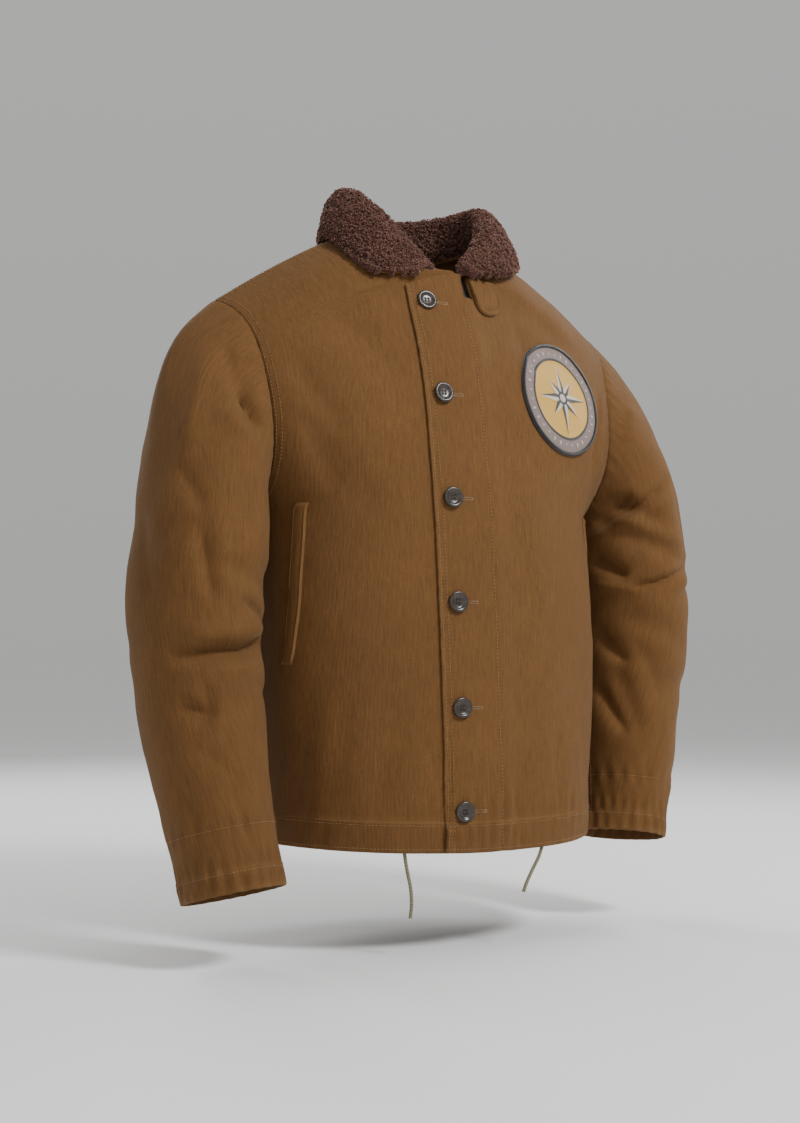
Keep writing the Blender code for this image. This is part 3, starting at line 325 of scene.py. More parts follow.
def smooth_row(table, at):
    """Row of a table at a value of its first column, on a smooth curve through all rows."""
    rows = np.array(table, float)
    keys = rows[:, 0]
    k = int(np.clip(np.searchsorted(keys, at, side="right") - 1, 0, len(keys) - 2))
    span = keys[k + 1] - keys[k]
    t = (at - keys[k]) / span

    def slope(i):
        low, high = max(i - 1, 0), min(i + 1, len(keys) - 1)
        return (rows[high, 1:] - rows[low, 1:]) / (keys[high] - keys[low])

    h00, h10, h01, h11 = hermite(t)
    return h00 * rows[k, 1:] + h10 * span * slope(k) + h01 * rows[k + 1, 1:] + h11 * span * slope(k + 1)


def ease(t):
    t = min(max(t, 0.0), 1.0)
    return t * t * (3 - 2 * t)


def unit(v):
    v = np.asarray(v, float)
    return v / max(np.linalg.norm(v), 1e-12)


def unit_rows(v):
    return v / np.maximum(np.linalg.norm(v, axis=1, keepdims=True), 1e-9)


def tube_faces(rings, sides):
    """Quads between the rings of a tube."""
    return [[k * sides + m, k * sides + (m + 1) % sides, (k + 1) * sides + (m + 1) % sides,
             (k + 1) * sides + m] for k in range(rings - 1) for m in range(sides)]


def bezier(a, b, c, d, t):
    s = 1 - t
    return s ** 3 * a + 3 * s * s * t * b + 3 * s * t * t * c + t ** 3 * d


def torso(inner_table, outer_table, s, row):
    """Point on the left half of the front or back, s from the centre line (0) to the side (1)."""
    a = smooth_row(inner_table, row)
    b = smooth_row(outer_table, row)
    start, end = a[:3], b[:3]
    return bezier(start, start + unit(a[3:6]) * a[6], end - unit(b[3:6]) * b[6], end, s)


def front_base(s, row):
    return torso(CENTRE_FRONT, FRONT_SIDE, s, row)


def back_base(s, row):
    return torso(CENTRE_BACK, BACK_SIDE, s, row)


def column_at(x, row, base=front_base, high=0.7):
    """The s value at which the front, or another base, lies x from its centre line."""
    low = 0.0
    for _ in range(HALVINGS):
        mid = (low + high) / 2
        if base(mid, row)[0] < x:
            low = mid
        else:
            high = mid
    return (low + high) / 2


def grid_normals(grid, closed=False):
    """Normals of a grid of points, columns first; the second index may be a closed ring."""
    du = np.empty_like(grid)
    du[1:-1] = grid[2:] - grid[:-2]
    du[0] = grid[1] - grid[0]
    du[-1] = grid[-1] - grid[-2]
    dv = np.empty_like(grid)
    if closed:
        dv[:] = np.roll(grid, -1, axis=1) - np.roll(grid, 1, axis=1)
    else:
        dv[:, 1:-1] = grid[:, 2:] - grid[:, :-2]
        dv[:, 0] = grid[:, 1] - grid[:, 0]
        dv[:, -1] = grid[:, -1] - grid[:, -2]
    n = np.cross(du, dv)
    return n / np.maximum(np.linalg.norm(n, axis=2, keepdims=True), 1e-12)


def arm_frame(table, at):
    """Centre, axis, outward and backward directions and half widths at a place along the arm."""
    keyed = [(i / (len(table) - 1),) + row for i, row in enumerate(table)]
    here = smooth_row(keyed, at)
    ahead = smooth_row(keyed, min(at + ARM_REACH, 1))[:3]
    behind = smooth_row(keyed, max(at - ARM_REACH, 0))[:3]
    axis = unit(ahead - behind)
    out = unit(np.array([1.0, 0, 0]) - axis * axis[0])
    back = unit(np.cross(out, axis)) * -1
    if back[1] < 0:
        back = -back
    return here[:3], axis, out, back, here[3], here[4]


def arm_point(table, at, fraction):
    centre, axis, out, back, wide, deep = arm_frame(table, at)
    angle = 2 * math.pi * fraction
    return centre - out * wide * math.cos(angle) - back * deep * math.sin(angle)


def armhole_loop():
    """Points of the left armhole from the underarm up the front and down the back."""
    front = [front_base(1.0, r) for r in HIGH_ROWS]
    back = [back_base(1.0, r) for r in HIGH_ROWS]
    return front + back[-2:0:-1]


def collar_section(at, side):
    """Points from the neck seam up to the roll line and down to the outer edge of the fall."""
    table = LEFT_COLLAR if side > 0 else RIGHT_COLLAR
    row = smooth_row(table, abs(at)) * np.array([side, 1, 1] * 3)
    neck, roll, edge = row[:3], row[3:6], row[6:9]
    if side < 0:
        taper = ease((abs(at) - COLLAR_TAPER_START) / (COLLAR_RIGHT_END - COLLAR_TAPER_START))
        edge = edge + (roll - edge) * taper * COLLAR_TAPER
    outward = unit((edge - neck) * (1, 1, 0))
    up = np.array([0, 0, 1.0])
    height = np.linalg.norm(roll - neck)
    fall = np.linalg.norm(edge - roll)
    points = []
    for k in range(STAND_STEPS):
        t = k / STAND_STEPS
        points.append(bezier(neck, neck + up * height * 0.4 - outward * height * 0.05,
                             roll - outward * height * 0.12 - up * height * 0.25, roll, t))
    drop = unit(edge - roll - up * 0.35 * fall)
    for k in range(FALL_STEPS + 1):
        t = k / FALL_STEPS
        points.append(bezier(roll, roll + outward * fall * 0.28 + up * height * 0.12,
                             edge - drop * fall * 0.4, edge, t))
    return points


def collar_grid():
    """The face between the collar's cloth and its pile, from the right end to the left end."""
    stations = [(-COLLAR_RIGHT_END * (1 - k / COLLAR_STEPS), -1) for k in range(COLLAR_STEPS)]
    stations += [(k / COLLAR_STEPS, 1) for k in range(COLLAR_STEPS + 1)]
    return np.array([collar_section(at, side) for at, side in stations])


# Creases over the tables above: sleeves as angle and z, the torso as x and z. The side that
# lies left of a line falls off lean times as wide as the other.
RIGHT_CREASES = [
    # from x  z       to x  z       width   depth    lean
    (146, -0.132, 140, -0.262, 0.013, 0.0056, 1.0),
    (144, -0.136, 113, -0.186, 0.008, -0.0065, 1.6),
    (116, -0.184, 78, -0.219, 0.0055, -0.0132, 1.5),
    (104, -0.176, 66, -0.205, 0.008, 0.0056, 1.0),
    (128, -0.205, 86, -0.240, 0.009, 0.0040, 1.0),
    (146, -0.262, 122, -0.306, 0.012, -0.0048, 0.5),
    (124, -0.318, 106, -0.388, 0.012, -0.0071, 0.5),
    (110, -0.300, 94, -0.380, 0.012, 0.0037, 1.0),
    (78, -0.388, 28, -0.413, 0.006, -0.0074, 1.5),
    (66, -0.352, 22, -0.368, 0.008, -0.0047, 1.5),
    (140, -0.441, 26, -0.429, 0.0062, -0.0121, 1.7),
    (150, -0.456, 60, -0.450, 0.009, 0.0056, 1.0),
    (140, -0.482, 113, -0.500, 0.008, -0.0074, 1.8),
    (116, -0.466, 112, -0.500, 0.009, -0.0047, 0.7),
    (60, -0.468, 20, -0.484, 0.008, -0.0043, 1.5),
    (130, -0.526, 90, -0.560, 0.012, -0.0037, 1.5),
    (160, -0.540, 142, -0.610, 0.012, -0.0031, 1.0),
    (100, -0.560, 92, -0.628, 0.009, -0.0028, 1.0),
    (186, -0.300, 156, -0.392, 0.015, -0.0050, 1.4),
    (232, -0.240, 284, -0.226, 0.011, -0.0056, 1.6),
    (222, -0.300, 292, -0.282, 0.009, -0.0053, 1.6),
    (246, -0.340, 324, -0.322, 0.009, -0.0065, 1.6),
    (205, -0.432, 300, -0.452, 0.008, -0.0068, 1.6),
    (338, -0.446, 288, -0.470, 0.008, -0.0053, 1.4),
    (225, -0.560, 284, -0.546, 0.010, -0.0034, 1.4),
]
LEFT_CREASES = [
    (154, -0.120, 96, -0.170, 0.009, -0.0087, 1.6),
    (98, -0.166, 62, -0.212, 0.010, -0.0062, 1.3),
    (130, -0.165, 84, -0.205, 0.011, 0.0040, 1.0),
    (60, -0.266, 22, -0.296, 0.007, -0.0121, 1.5),
    (28, -0.299, 118, -0.243, 0.0070, -0.0090, 0.6),
    (14, -0.314, 116, -0.264, 0.008, 0.0062, 1.0),
    (10, -0.334, 46, -0.357, 0.0075, -0.0124, 1.4),
    (12, -0.364, 60, -0.372, 0.008, 0.0053, 1.0),
    (44, -0.372, 120, -0.344, 0.0075, -0.0087, 0.6),
    (96, -0.386, 150, -0.352, 0.010, -0.0053, 0.6),
    (10, -0.414, 46, -0.452, 0.009, -0.0096, 1.5),
    (50, -0.420, 90, -0.494, 0.014, -0.0043, 1.4),
    (10, -0.470, 48, -0.530, 0.009, -0.0112, 1.5),
    (120, -0.270, 128, -0.330, 0.013, -0.0037, 1.0),
    (90, -0.540, 60, -0.585, 0.010, -0.0037, 1.2),
    (120, -0.600, 60, -0.612, 0.010, -0.0028, 1.0),
    (232, -0.232, 286, -0.220, 0.011, -0.0056, 1.6),
    (222, -0.290, 296, -0.272, 0.009, -0.0053, 1.6),
    (246, -0.330, 324, -0.310, 0.009, -0.0065, 1.6),
    (205, -0.404, 296, -0.424, 0.008, -0.0068, 1.6),
    (338, -0.440, 290, -0.462, 0.008, -0.0053, 1.4),
    (222, -0.552, 282, -0.540, 0.010, -0.0034, 1.4),
]
FRONT_CREASES = [
    (-0.150, -0.090, -0.085, -0.165, 0.013, -0.0053, 1.8),
    (-0.196, -0.150, -0.150, -0.225, 0.010, -0.0053, 1.8),
    (-0.188, -0.205, -0.150, -0.285, 0.009, -0.0047, 1.6),
    (-0.150, -0.470, -0.158, -0.598, 0.011, -0.0040, 1.4),
    (-0.088, -0.500, -0.094, -0.600, 0.010, 0.0028, 1.0),
    (-0.060, -0.540, -0.066, -0.602, 0.008, -0.0028, 1.0),
    (-0.178, -0.480, -0.180, -0.596, 0.009, -0.0034, 1.4),
    (-0.120, -0.540, -0.124, -0.602, 0.008, -0.0028, 1.0),
    (0.196, -0.150, 0.166, -0.245, 0.010, -0.0053, 0.6),
    (0.186, -0.300, 0.172, -0.420, 0.012, -0.0043, 1.4),
    (0.150, -0.480, 0.158, -0.598, 0.011, -0.0040, 1.4),
    (0.070, -0.510, 0.078, -0.600, 0.009, -0.0028, 1.0),
    (0.112, -0.520, 0.116, -0.600, 0.009, 0.0025, 1.0),
    (0.030, -0.300, 0.045, -0.420, 0.015, -0.0025, 1.4),
    (0.060, -0.092, 0.078, -0.150, 0.010, -0.0031, 1.4),
]
BACK_CREASES = [
    (0.190, -0.160, 0.120, -0.225, 0.010, -0.0056, 1.8),
    (-0.190, -0.160, -0.120, -0.225, 0.010, -0.0056, 0.6),
    (0.160, -0.270, 0.100, -0.330, 0.011, -0.0043, 1.6),
    (-0.160, -0.270, -0.100, -0.330, 0.011, -0.0043, 0.6),
    (0.120, -0.480, 0.130, -0.598, 0.011, -0.0040, 1.4),
    (-0.120, -0.480, -0.130, -0.598, 0.011, -0.0040, 1.4),
    (0.040, -0.500, 0.044, -0.600, 0.009, -0.0031, 1.0),
    (-0.036, -0.500, -0.046, -0.600, 0.009, -0.0031, 1.0),
    (-0.090, -0.070, -0.140, -0.130, 0.013, -0.0037, 1.4),
    (0.095, -0.070, 0.140, -0.130, 0.013, -0.0037, 0.7),
]

# Shell thickness, edge rounding, threads
SHELL = 0.0024
COLLAR_END_SHIFT = (0.004, -0.0022, -0.0072)
ROUND = 0.0011
THREAD = 0.00042
STITCH = 0.0027
STITCH_GAP = 0.0010

# How far from a seam the creases fade out
SEAM_FADE = 0.03
CAP_FADE = 0.045

# Rows of stitches: distances from their edges, and the row down the flap's inner side
FLAP_STITCHES = (0.0030, 0.0085)
HEM_STITCHES = (0.0040, 0.0270)
SEAM_STITCHES = (0.0022, 0.0080)
CUFF_STITCHES = (0.0185, 0.060)
NECK_STITCH = 0.0030
FLAP_STITCH_X = -0.004
FLAP_STITCH_HEIGHTS = (-0.632, -0.500, -0.300, -0.150, -0.086)

# Seams and rows of stitches sink by these depths, a seam over this width
SEAM_DEPTH = 0.0009
INSEAM_DEPTH = 0.0008
STITCH_SINK = 0.0005
SEAM_WIDTH = 0.0016

# Puckers: distance of their line from the edge, reach, height, pitch, seed
CASING_PUCKERS = ((0.013, 0.014, 0.0019, 0.013, 4.0), (0.036, 0.020, 0.0019, 0.017, 9.0))
CUFF_PUCKERS = (
    (0.010, 0.014, 0.0024, 0.0145, 2.0),
    (0.027, 0.011, 0.0016, 0.012, 7.0),
    (0.060, 0.011, 0.0012, 0.016, 9.0),
)
CAP_PUCKER = (0.008, 0.012, 0.0008, 0.015, 5.0)
INSEAM_PUCKER = (0.006, 0.008, 0.0006, 0.013, 6.0)
FRONT_SIDE_PUCKER = (0.006, 0.008, 0.0006, 0.012, 1.0)
BACK_SIDE_PUCKER = (0.006, 0.008, 0.0006, 0.012, 5.0)
SHOULDER_PUCKER = (0.006, 0.008, 0.0004, 0.011, 2.0)
FLAP_EDGE_PUCKER = (0.006, 0.010, 0.0014, 0.015, 3.0)
FLAP_STITCH_PUCKER = (FLAP_STITCH_X, 0.009, 0.0008, 0.013, 6.0)

# Tab and welts: width of the rounded edge, least share of its height, place of the stitched groove
TAB_EDGE = (0.0028, 0.06)
TAB_GROOVE = 0.0050
WELT_EDGE = (0.0018, 0.04)
WELT_GROOVE = 0.0030

# Patch: thickness of its stitches, its border and the short bars of its outer ring
STITCH_RISE = 0.0006
BORDER_COUNT = 210
BORDER_ENDS = ((0.0576, 0.0, 0.0012), (0.0612, 0.018, 0.0006))
BORDER_THREAD = 0.00095
MARK_COUNT = 32
MARK_START = 0.0490
MARK_LONG_END = 0.0535
MARK_SHORT_END = 0.0512

# Buttonholes, measured from the button's centre
HOLE_START = 0.0115
HOLE_END = 0.0215
HOLE_THREAD = 0.00036

# Pile tufts: how deep they start, how many all over for each piece, how many along the edges
TUFT_ROOT = 0.0012
TUFTS = 4300
EDGE_TUFTS = 3600


# Camera, lights and floor

CAMERA_PLACE = (-1.0075, -1.5515, -0.437)
CAMERA_TURN = 33
FLOOR_Z = -0.735
PHOTO_HEIGHT = 1123
FOCAL_PIXELS = 1733
SKY = 0.46
FLOOR_GREY = 0.82


def add_camera():
    data = bpy.data.cameras.new("camera")
    data.sensor_fit = "VERTICAL"
    data.sensor_height = 24
    data.lens = 24 * FOCAL_PIXELS / PHOTO_HEIGHT
    data.shift_x = -18 / PHOTO_HEIGHT
    data.shift_y = 88.5 / PHOTO_HEIGHT
    data.clip_start = 0.05
    camera = bpy.data.objects.new("camera", data)
    bpy.context.collection.objects.link(camera)
    camera.location = CAMERA_PLACE
    camera.rotation_euler = (math.pi / 2, 0, -math.radians(CAMERA_TURN))
    bpy.context.scene.camera = camera


def add_light(name, place, aim, size, power):
    data = bpy.data.lights.new(name, "AREA")
    data.shape = "DISK"
    data.size = size
    data.energy = power
    light = bpy.data.objects.new(name, data)
    bpy.context.collection.objects.link(light)
    light.location = place
    light.rotation_euler = (Vector(aim) - Vector(place)).to_track_quat("-Z", "Y").to_euler()


def add_studio():
    target = (0.0, 0.0, -0.32)
    add_light("key", (0.55, -1.70, 1.20), target, 0.60, 54)
    add_light("fill", (-1.3, -2.2, 0.3), target, 1.4, 7)
    add_light("rim_left", (-1.0, 1.6, 0.9), target, 0.9, 5)
    add_light("rim_right", (1.7, 0.5, 0.8), target, 0.9, 14)
    add_light("back", (0.25, 2.20, 0.95), target, 0.9, 26)
    world = bpy.data.worlds.new("world")
    world.use_nodes = True
    tree = world.node_tree
    # the sky brightens upwards just so much that the floor meets it without a line
    place = tree.nodes.new("ShaderNodeTexCoord")
    split = tree.nodes.new("ShaderNodeSeparateXYZ")
    tree.links.new(place.outputs["Generated"], split.inputs["Vector"])
    ramp = tree.nodes.new("ShaderNodeMapRange")
    ramp.inputs["From Min"].default_value = 0.0
    ramp.inputs["From Max"].default_value = 1.0
    ramp.inputs["To Min"].default_value = SKY
    ramp.inputs["To Max"].default_value = SKY * (1 + 1.5 * (1 / FLOOR_GREY - 1))
    tree.links.new(split.outputs["Z"], ramp.inputs["Value"])
    tree.links.new(ramp.outputs["Result"], tree.nodes["Background"].inputs["Strength"])
    tree.nodes["Background"].inputs["Color"].default_value = (1.0, 0.99, 0.975, 1)
    bpy.context.scene.world = world
    material = bpy.data.materials.new("floor")
    material.use_nodes = True
    shader = material.node_tree.nodes["Principled BSDF"]
    shader.inputs["Base Color"].default_value = (FLOOR_GREY, FLOOR_GREY, FLOOR_GREY, 1)
    shader.inputs["Roughness"].default_value = 0.9
    shader.inputs["Specular IOR Level"].default_value = 0.0
    mesh = bpy.data.meshes.new("floor")
    size = 30
    mesh.from_pydata([(-size, -size, FLOOR_Z), (size, -size, FLOOR_Z),
                      (size, size, FLOOR_Z), (-size, size, FLOOR_Z)], [], [[0, 1, 2, 3]])
    mesh.materials.append(material)
    floor = bpy.data.objects.new("floor", mesh)
    bpy.context.collection.objects.link(floor)


# Materials


class Nodes:
    """Short calls for building one material's node tree."""

    def __init__(self, name, roughness, sheen=0.0, sheen_tint=(1, 1, 1), specular=0.5):
        self.material = bpy.data.materials.new(name)
        self.material.use_nodes = True
        self.tree = self.material.node_tree
        self.shader = self.tree.nodes["Principled BSDF"]
        self.shader.inputs["Roughness"].default_value = roughness
        self.shader.inputs["Sheen Weight"].default_value = sheen
        self.shader.inputs["Sheen Roughness"].default_value = 0.45
        self.shader.inputs["Sheen Tint"].default_value = (*sheen_tint, 1)
        self.shader.inputs["Specular IOR Level"].default_value = specular

    def node(self, kind, links=None, **values):
        made = self.tree.nodes.new(kind)
        for key, value in values.items():
            if key in made.inputs:
                made.inputs[key].default_value = value
            else:
                setattr(made, key, value)
        for key, source in (links or {}).items():
            self.tree.links.new(source, made.inputs[key])
        return made

    def coordinates(self, output="UV"):
        return self.node("ShaderNodeTexCoord").outputs[output]

    def scaled(self, source, scale):
        mapping = self.node("ShaderNodeMapping", {"Vector": source})
        mapping.inputs["Scale"].default_value = scale
        return mapping.outputs["Vector"]

    def noise(self, source, scale, size=1.0, detail=2.0, roughness=0.55):
        return self.node("ShaderNodeTexNoise", {"Vector": self.scaled(source, scale)}, Scale=size,
                         Detail=detail, Roughness=roughness).outputs["Fac"]

    def wave(self, source, scale, direction="X", distortion=0.0):
        made = self.node("ShaderNodeTexWave", {"Vector": source}, Scale=scale,
                         Distortion=distortion, Detail=0.0)
        made.bands_direction = direction
        return made.outputs["Fac"]

    def feed(self, socket, value):
        """Link a socket to another one, or set its value."""
        if isinstance(value, bpy.types.NodeSocket):
            self.tree.links.new(value, socket)
        else:
            socket.default_value = value

    def math(self, operation, a, b):
        made = self.node("ShaderNodeMath", operation=operation)
        self.feed(made.inputs[0], a)
        self.feed(made.inputs[1], b)
        return made.outputs[0]

    def total(self, *parts):
        """The sum of sockets, each times its weight."""
        weighed = [self.math("MULTIPLY", source, weight) for source, weight in parts]
        result = weighed[0]
        for part in weighed[1:]:
            result = self.math("ADD", result, part)
        return result

    def spread(self, source, factor):
        """The same value with its distance from one half enlarged."""
        away = self.math("SUBTRACT", source, 0.5)
        return self.math("ADD", self.math("MULTIPLY", away, factor), 0.5)

    def blend(self, amount, low, high):
        """A colour between two, by an amount that a socket gives."""
        ramp = self.node("ShaderNodeValToRGB", {"Fac": amount})
        ramp.color_ramp.elements[0].color = (*low, 1)
        ramp.color_ramp.elements[1].color = (*high, 1)
        return ramp.outputs["Color"]

    def mix(self, kind, amount, first, second):
        made = self.node("ShaderNodeMix", data_type="RGBA", blend_type=kind)
        self.feed(made.inputs["Factor"], amount)
        self.feed(made.inputs[6], first)
        self.feed(made.inputs[7], second)
        return made.outputs[2]

    def paint(self, colour):
        self.tree.links.new(colour, self.shader.inputs["Base Color"])

    def rough(self, source, share, least):
        rough = self.math("ADD", self.math("MULTIPLY", source, share), least)
        self.tree.links.new(rough, self.shader.inputs["Roughness"])

    def bump(self, height, strength, distance):
        made = self.node("ShaderNodeBump", {"Height": height}, Strength=strength,
                         Distance=distance)
        self.tree.links.new(made.outputs["Normal"], self.shader.inputs["Normal"])


def wave_scale(pitch):
    """The wave texture's scale for bands of one pitch in metres."""
    return math.pi / 10 / pitch


def cloth_material():
    """Corded cotton: fine cords along the grain with slubs, cross threads, faded high places."""
    n = Nodes("corded_cloth", 0.86, 0.08, (0.95, 0.72, 0.45), 0.22)
    uv = n.coordinates()
    place = n.coordinates("Object")
    slub = n.noise(uv, (1100, 30, 1), detail=3.0)
    fine = n.noise(uv, (2300, 420, 1), detail=2.0)
    cross = n.noise(uv, (160, 1500, 1), detail=1.0)
    cords = n.wave(uv, wave_scale(0.0013))
    picks = n.wave(uv, wave_scale(0.0009), "Y")
    broad = n.noise(place, (9, 9, 6), detail=3.0)
    patchy = n.noise(uv, (420, 70, 1), detail=2.0)
    grain = n.total((slub, 0.38), (fine, 0.22), (cross, 0.16), (patchy, 0.24))
    colour = n.blend(n.spread(grain, 2.6), (0.070, 0.0300, 0.0070), (0.172, 0.0800, 0.0225))
    shade = n.blend(broad, (0.86, 0.85, 0.86), (1.12, 1.12, 1.12))
    shaded = n.mix("MULTIPLY", 1.0, colour, shade)
    wear = n.node("ShaderNodeAttribute", attribute_name="wear").outputs["Fac"]
    n.paint(n.mix("MIX", wear, shaded, (0.200, 0.104, 0.040, 1)))
    n.bump(n.total((cords, 0.55), (picks, 0.15), (grain, 0.9)), 0.55, 0.0006)
    n.rough(slub, 0.16, 0.76)
    return n.material


def thread_material(name, low, high, roughness=0.6):
    n = Nodes(name, roughness, 0.15)
    place = n.coordinates("Object")
    n.paint(n.blend(n.noise(place, (260, 260, 260)), low, high))
    twist = n.wave(n.scaled(place, (1, 1, 1)), wave_scale(0.0006), "DIAGONAL", 1.0)
    n.bump(twist, 0.5, 0.0002)
    return n.material


def pile_material(name, low, high):
    n = Nodes(name, 0.92, 0.55, (0.85, 0.55, 0.45), 0.2)
    place = n.coordinates("Object")
    clumps = n.noise(place, (150, 150, 150), detail=3.0)
    strands = n.noise(place, (1400, 1400, 1400), detail=2.0)
    grain = n.total((clumps, 0.7), (strands, 0.3))
    n.paint(n.blend(n.spread(grain, 2.4), low, high))
    n.bump(strands, 0.6, 0.0005)
    return n.material


def button_material():
    n = Nodes("horn_button", 0.28, 0.0, (1, 1, 1), 0.55)
    place = n.coordinates("Object")
    cloud = n.noise(place, (170, 170, 260), detail=4.0)
    n.paint(n.blend(cloud, (0.007, 0.005, 0.004), (0.048, 0.034, 0.025)))
    n.rough(cloud, 0.18, 0.20)
    n.bump(n.noise(place, (900, 900, 900)), 0.12, 0.0002)
    return n.material


def twill_material(name, low, high):
    n = Nodes(name, 0.78, 0.2)
    uv = n.coordinates()
    lines = n.wave(uv, wave_scale(0.0011), "DIAGONAL", 0.4)
    cloud = n.noise(uv, (500, 500, 1), detail=2.0)
    n.paint(n.blend(n.total((lines, 0.5), (cloud, 0.5)), low, high))
    n.bump(lines, 0.6, 0.0004)
    return n.material


def satin_material(name, low, high):
    """Embroidery: long parallel threads with a soft gloss."""
    n = Nodes(name, 0.48, 0.25, (1, 1, 1), 0.5)
    uv = n.coordinates()
    threads = n.wave(uv, wave_scale(0.0007), "Y", 0.3)
    cloud = n.noise(uv, (260, 1300, 1), detail=2.0)
    n.paint(n.blend(n.total((threads, 0.55), (cloud, 0.45)), low, high))
    n.bump(threads, 0.7, 0.0004)
    return n.material


def metal_material():
    n = Nodes("zip_metal", 0.38)
    n.shader.inputs["Metallic"].default_value = 0.9
    place = n.coordinates("Object")
    n.paint(n.blend(n.noise(place, (500, 500, 500)), (0.035, 0.028, 0.020), (0.11, 0.085, 0.05)))
    return n.material


def cord_material():
    n = Nodes("drawcord", 0.75, 0.2)
    place = n.coordinates("Object")
    braid = n.wave(place, wave_scale(0.0021), "Z", 3.0)
    other = n.wave(place, wave_scale(0.0016), "DIAGONAL", 2.0)
    grain = n.total((braid, 0.5), (other, 0.5))
    n.paint(n.blend(grain, (0.085, 0.080, 0.040), (0.265, 0.250, 0.150)))
    n.bump(grain, 0.9, 0.0006)
    return n.material


# Fine cloth


def refine_first(grid, steps, warp=True):
    """Smooth curves through a grid's points along its first index; end cells crowd to the edge."""
    chord = np.linalg.norm(np.diff(grid, axis=0), axis=2).mean(axis=1)
    chord = np.maximum(chord, 1e-9)
    delta = np.diff(grid, axis=0) / chord[:, None, None]
    slope = np.empty_like(grid)
    before, after = chord[:-1, None, None], chord[1:, None, None]
    slope[1:-1] = (delta[:-1] * after + delta[1:] * before) / (before + after)
    slope[0], slope[-1] = delta[0], delta[-1]
    out = []
    cells = len(grid) - 1
    for k in range(cells):
        for step in range(steps):
            t = step / steps
            if warp and k == 0:
                t = t ** 1.9
            elif warp and k == cells - 1:
                t = 1 - (1 - t) ** 1.9
            h00, h10, h01, h11 = hermite(t)
            out.append(h00 * grid[k] + h10 * chord[k] * slope[k]
                       + h01 * grid[k + 1] + h11 * chord[k] * slope[k + 1])
    out.append(grid[-1])
    return np.array(out)


def refine(grid, first, second, closed=False):
    """A finer grid through the same points."""
    grid = refine_first(np.asarray(grid, float), first)
    across = grid.transpose(1, 0, 2)
    if not closed:
        return refine_first(across, second).transpose(1, 0, 2)
    lead = 3
    ring = np.concatenate([across[-lead:], across, across[:lead + 1]])
    fine = refine_first(ring, second, False)
    return fine[lead * second: (lead + len(across)) * second].transpose(1, 0, 2)


class Cloth:
    """A fine cloth face with its normals and the distances of its points from its edges."""

    def __init__(self, name, grid, sign, closed=False, cells=None, steps=5):
        self.name = name
        self.closed = closed
        self.sign = sign
        self.cells = cells or (lambda i, j: True)
        self.steps = steps
        self.points = refine(grid, steps, steps, closed)
        self.base = self.points.copy()
        self.wear = np.zeros(self.points.shape[:2])
        self.find_normals()
        first = np.linalg.norm(np.diff(self.points, axis=0), axis=2)
        self.from_first = np.concatenate([np.zeros((1, first.shape[1])), np.cumsum(first, axis=0)])
        self.from_last = self.from_first[-1] - self.from_first
        loop = self.points
        if closed:
            loop = np.concatenate([loop, loop[:, :1]], axis=1)
        second = np.linalg.norm(np.diff(loop, axis=1), axis=2)
        total = np.concatenate([np.zeros((len(loop), 1)), np.cumsum(second, axis=1)], axis=1)
        self.length = total[:, -1:]
        self.from_low = total[:, :-1] if closed else total
        self.from_high = self.length - self.from_low
        self.across = self.from_first
        self.along = self.from_low
        self.inner = None
        self.flat = None

    def find_normals(self):
        self.normals = grid_normals(self.points, self.closed) * self.sign

    def from_edges(self):
        """Distance from the nearest of the four edges."""
        return np.minimum(np.minimum(self.from_first, self.from_last),
                          np.minimum(self.from_low, self.from_high))

    def push(self, heights):
        """Move every point along its normal."""
        self.points = self.points + self.normals * heights[..., None]
        self.find_normals()

    def finish(self, rounded, thickness=SHELL):
        """Fix the inner face, then round the free edges over."""
        self.inner = self.points - self.normals * thickness
        drop_down = np.zeros(self.points.shape[:2])
        for distance in rounded:
            t = np.clip(1 - distance / ROUND, 0, 1)
            drop_down = np.maximum(drop_down, ROUND * (1 - np.sqrt(1 - t * t)))
        self.points = self.points - self.normals * drop_down[..., None]
        self.find_normals()


def smooth(t):
    t = np.clip(t, 0, 1)
    return t * t * (3 - 2 * t)


def bell(distance, width):
    return np.exp(-(distance / width) ** 2)


def rounded_edge(edge, reach, least):
    """Share of its full height that a rounded edge reaches at a distance from the edge."""
    return np.sqrt(np.clip(1 - (1 - np.clip(edge / reach, 0, 1)) ** 2, least, 1))


def line_places(flat, start, end):
    """How far along a line, how far off it, and on which side each flat place lies."""
    line = np.subtract(end, start)
    offset = flat - np.array(start)
    t = (offset @ line) / (line @ line)
    off = np.linalg.norm(offset - np.clip(t, 0, 1)[..., None] * line, axis=-1)
    return t, off, line[0] * offset[..., 1] - line[1] * offset[..., 0] > 0


def crease_heights(flat, creases, wander, ridge=0.28, sharp=0.22):
    """Heights of creases with a narrow bottom or top, straight flanks and one wider side."""
    total = np.zeros(flat.shape[:2])
    for x0, y0, x1, y1, width, depth, lean in creases:
        t, off, left = line_places(flat + wander, (x0, y0), (x1, y1))
        wide = width * np.where(left, lean, 1.0)
        fade = smooth((t + 0.10) / 0.40) * smooth((1.10 - t) / 0.30)
        flank = np.exp(-1.35 * (np.sqrt((off / wide) ** 2 + sharp ** 2) - sharp))
        total += depth * fade * (flank - ridge * np.exp(-(off / (2.6 * width)) ** 2))
    return total


def fold_heights(flat, folds, ridge=0.3):
    """Heights of soft folds over flat places; a trough has a low ridge on each side."""
    total = np.zeros(flat.shape[:2])
    for x0, y0, x1, y1, width, depth in folds:
        t, off = line_places(flat, (x0, y0), (x1, y1))[:2]
        fade = smooth((t + 0.12) / 0.35) * smooth((1.12 - t) / 0.35)
        shape = np.exp(-(off / width) ** 2) - ridge * np.exp(-(off / (2.2 * width)) ** 2)
        total += depth * fade * shape
    return total


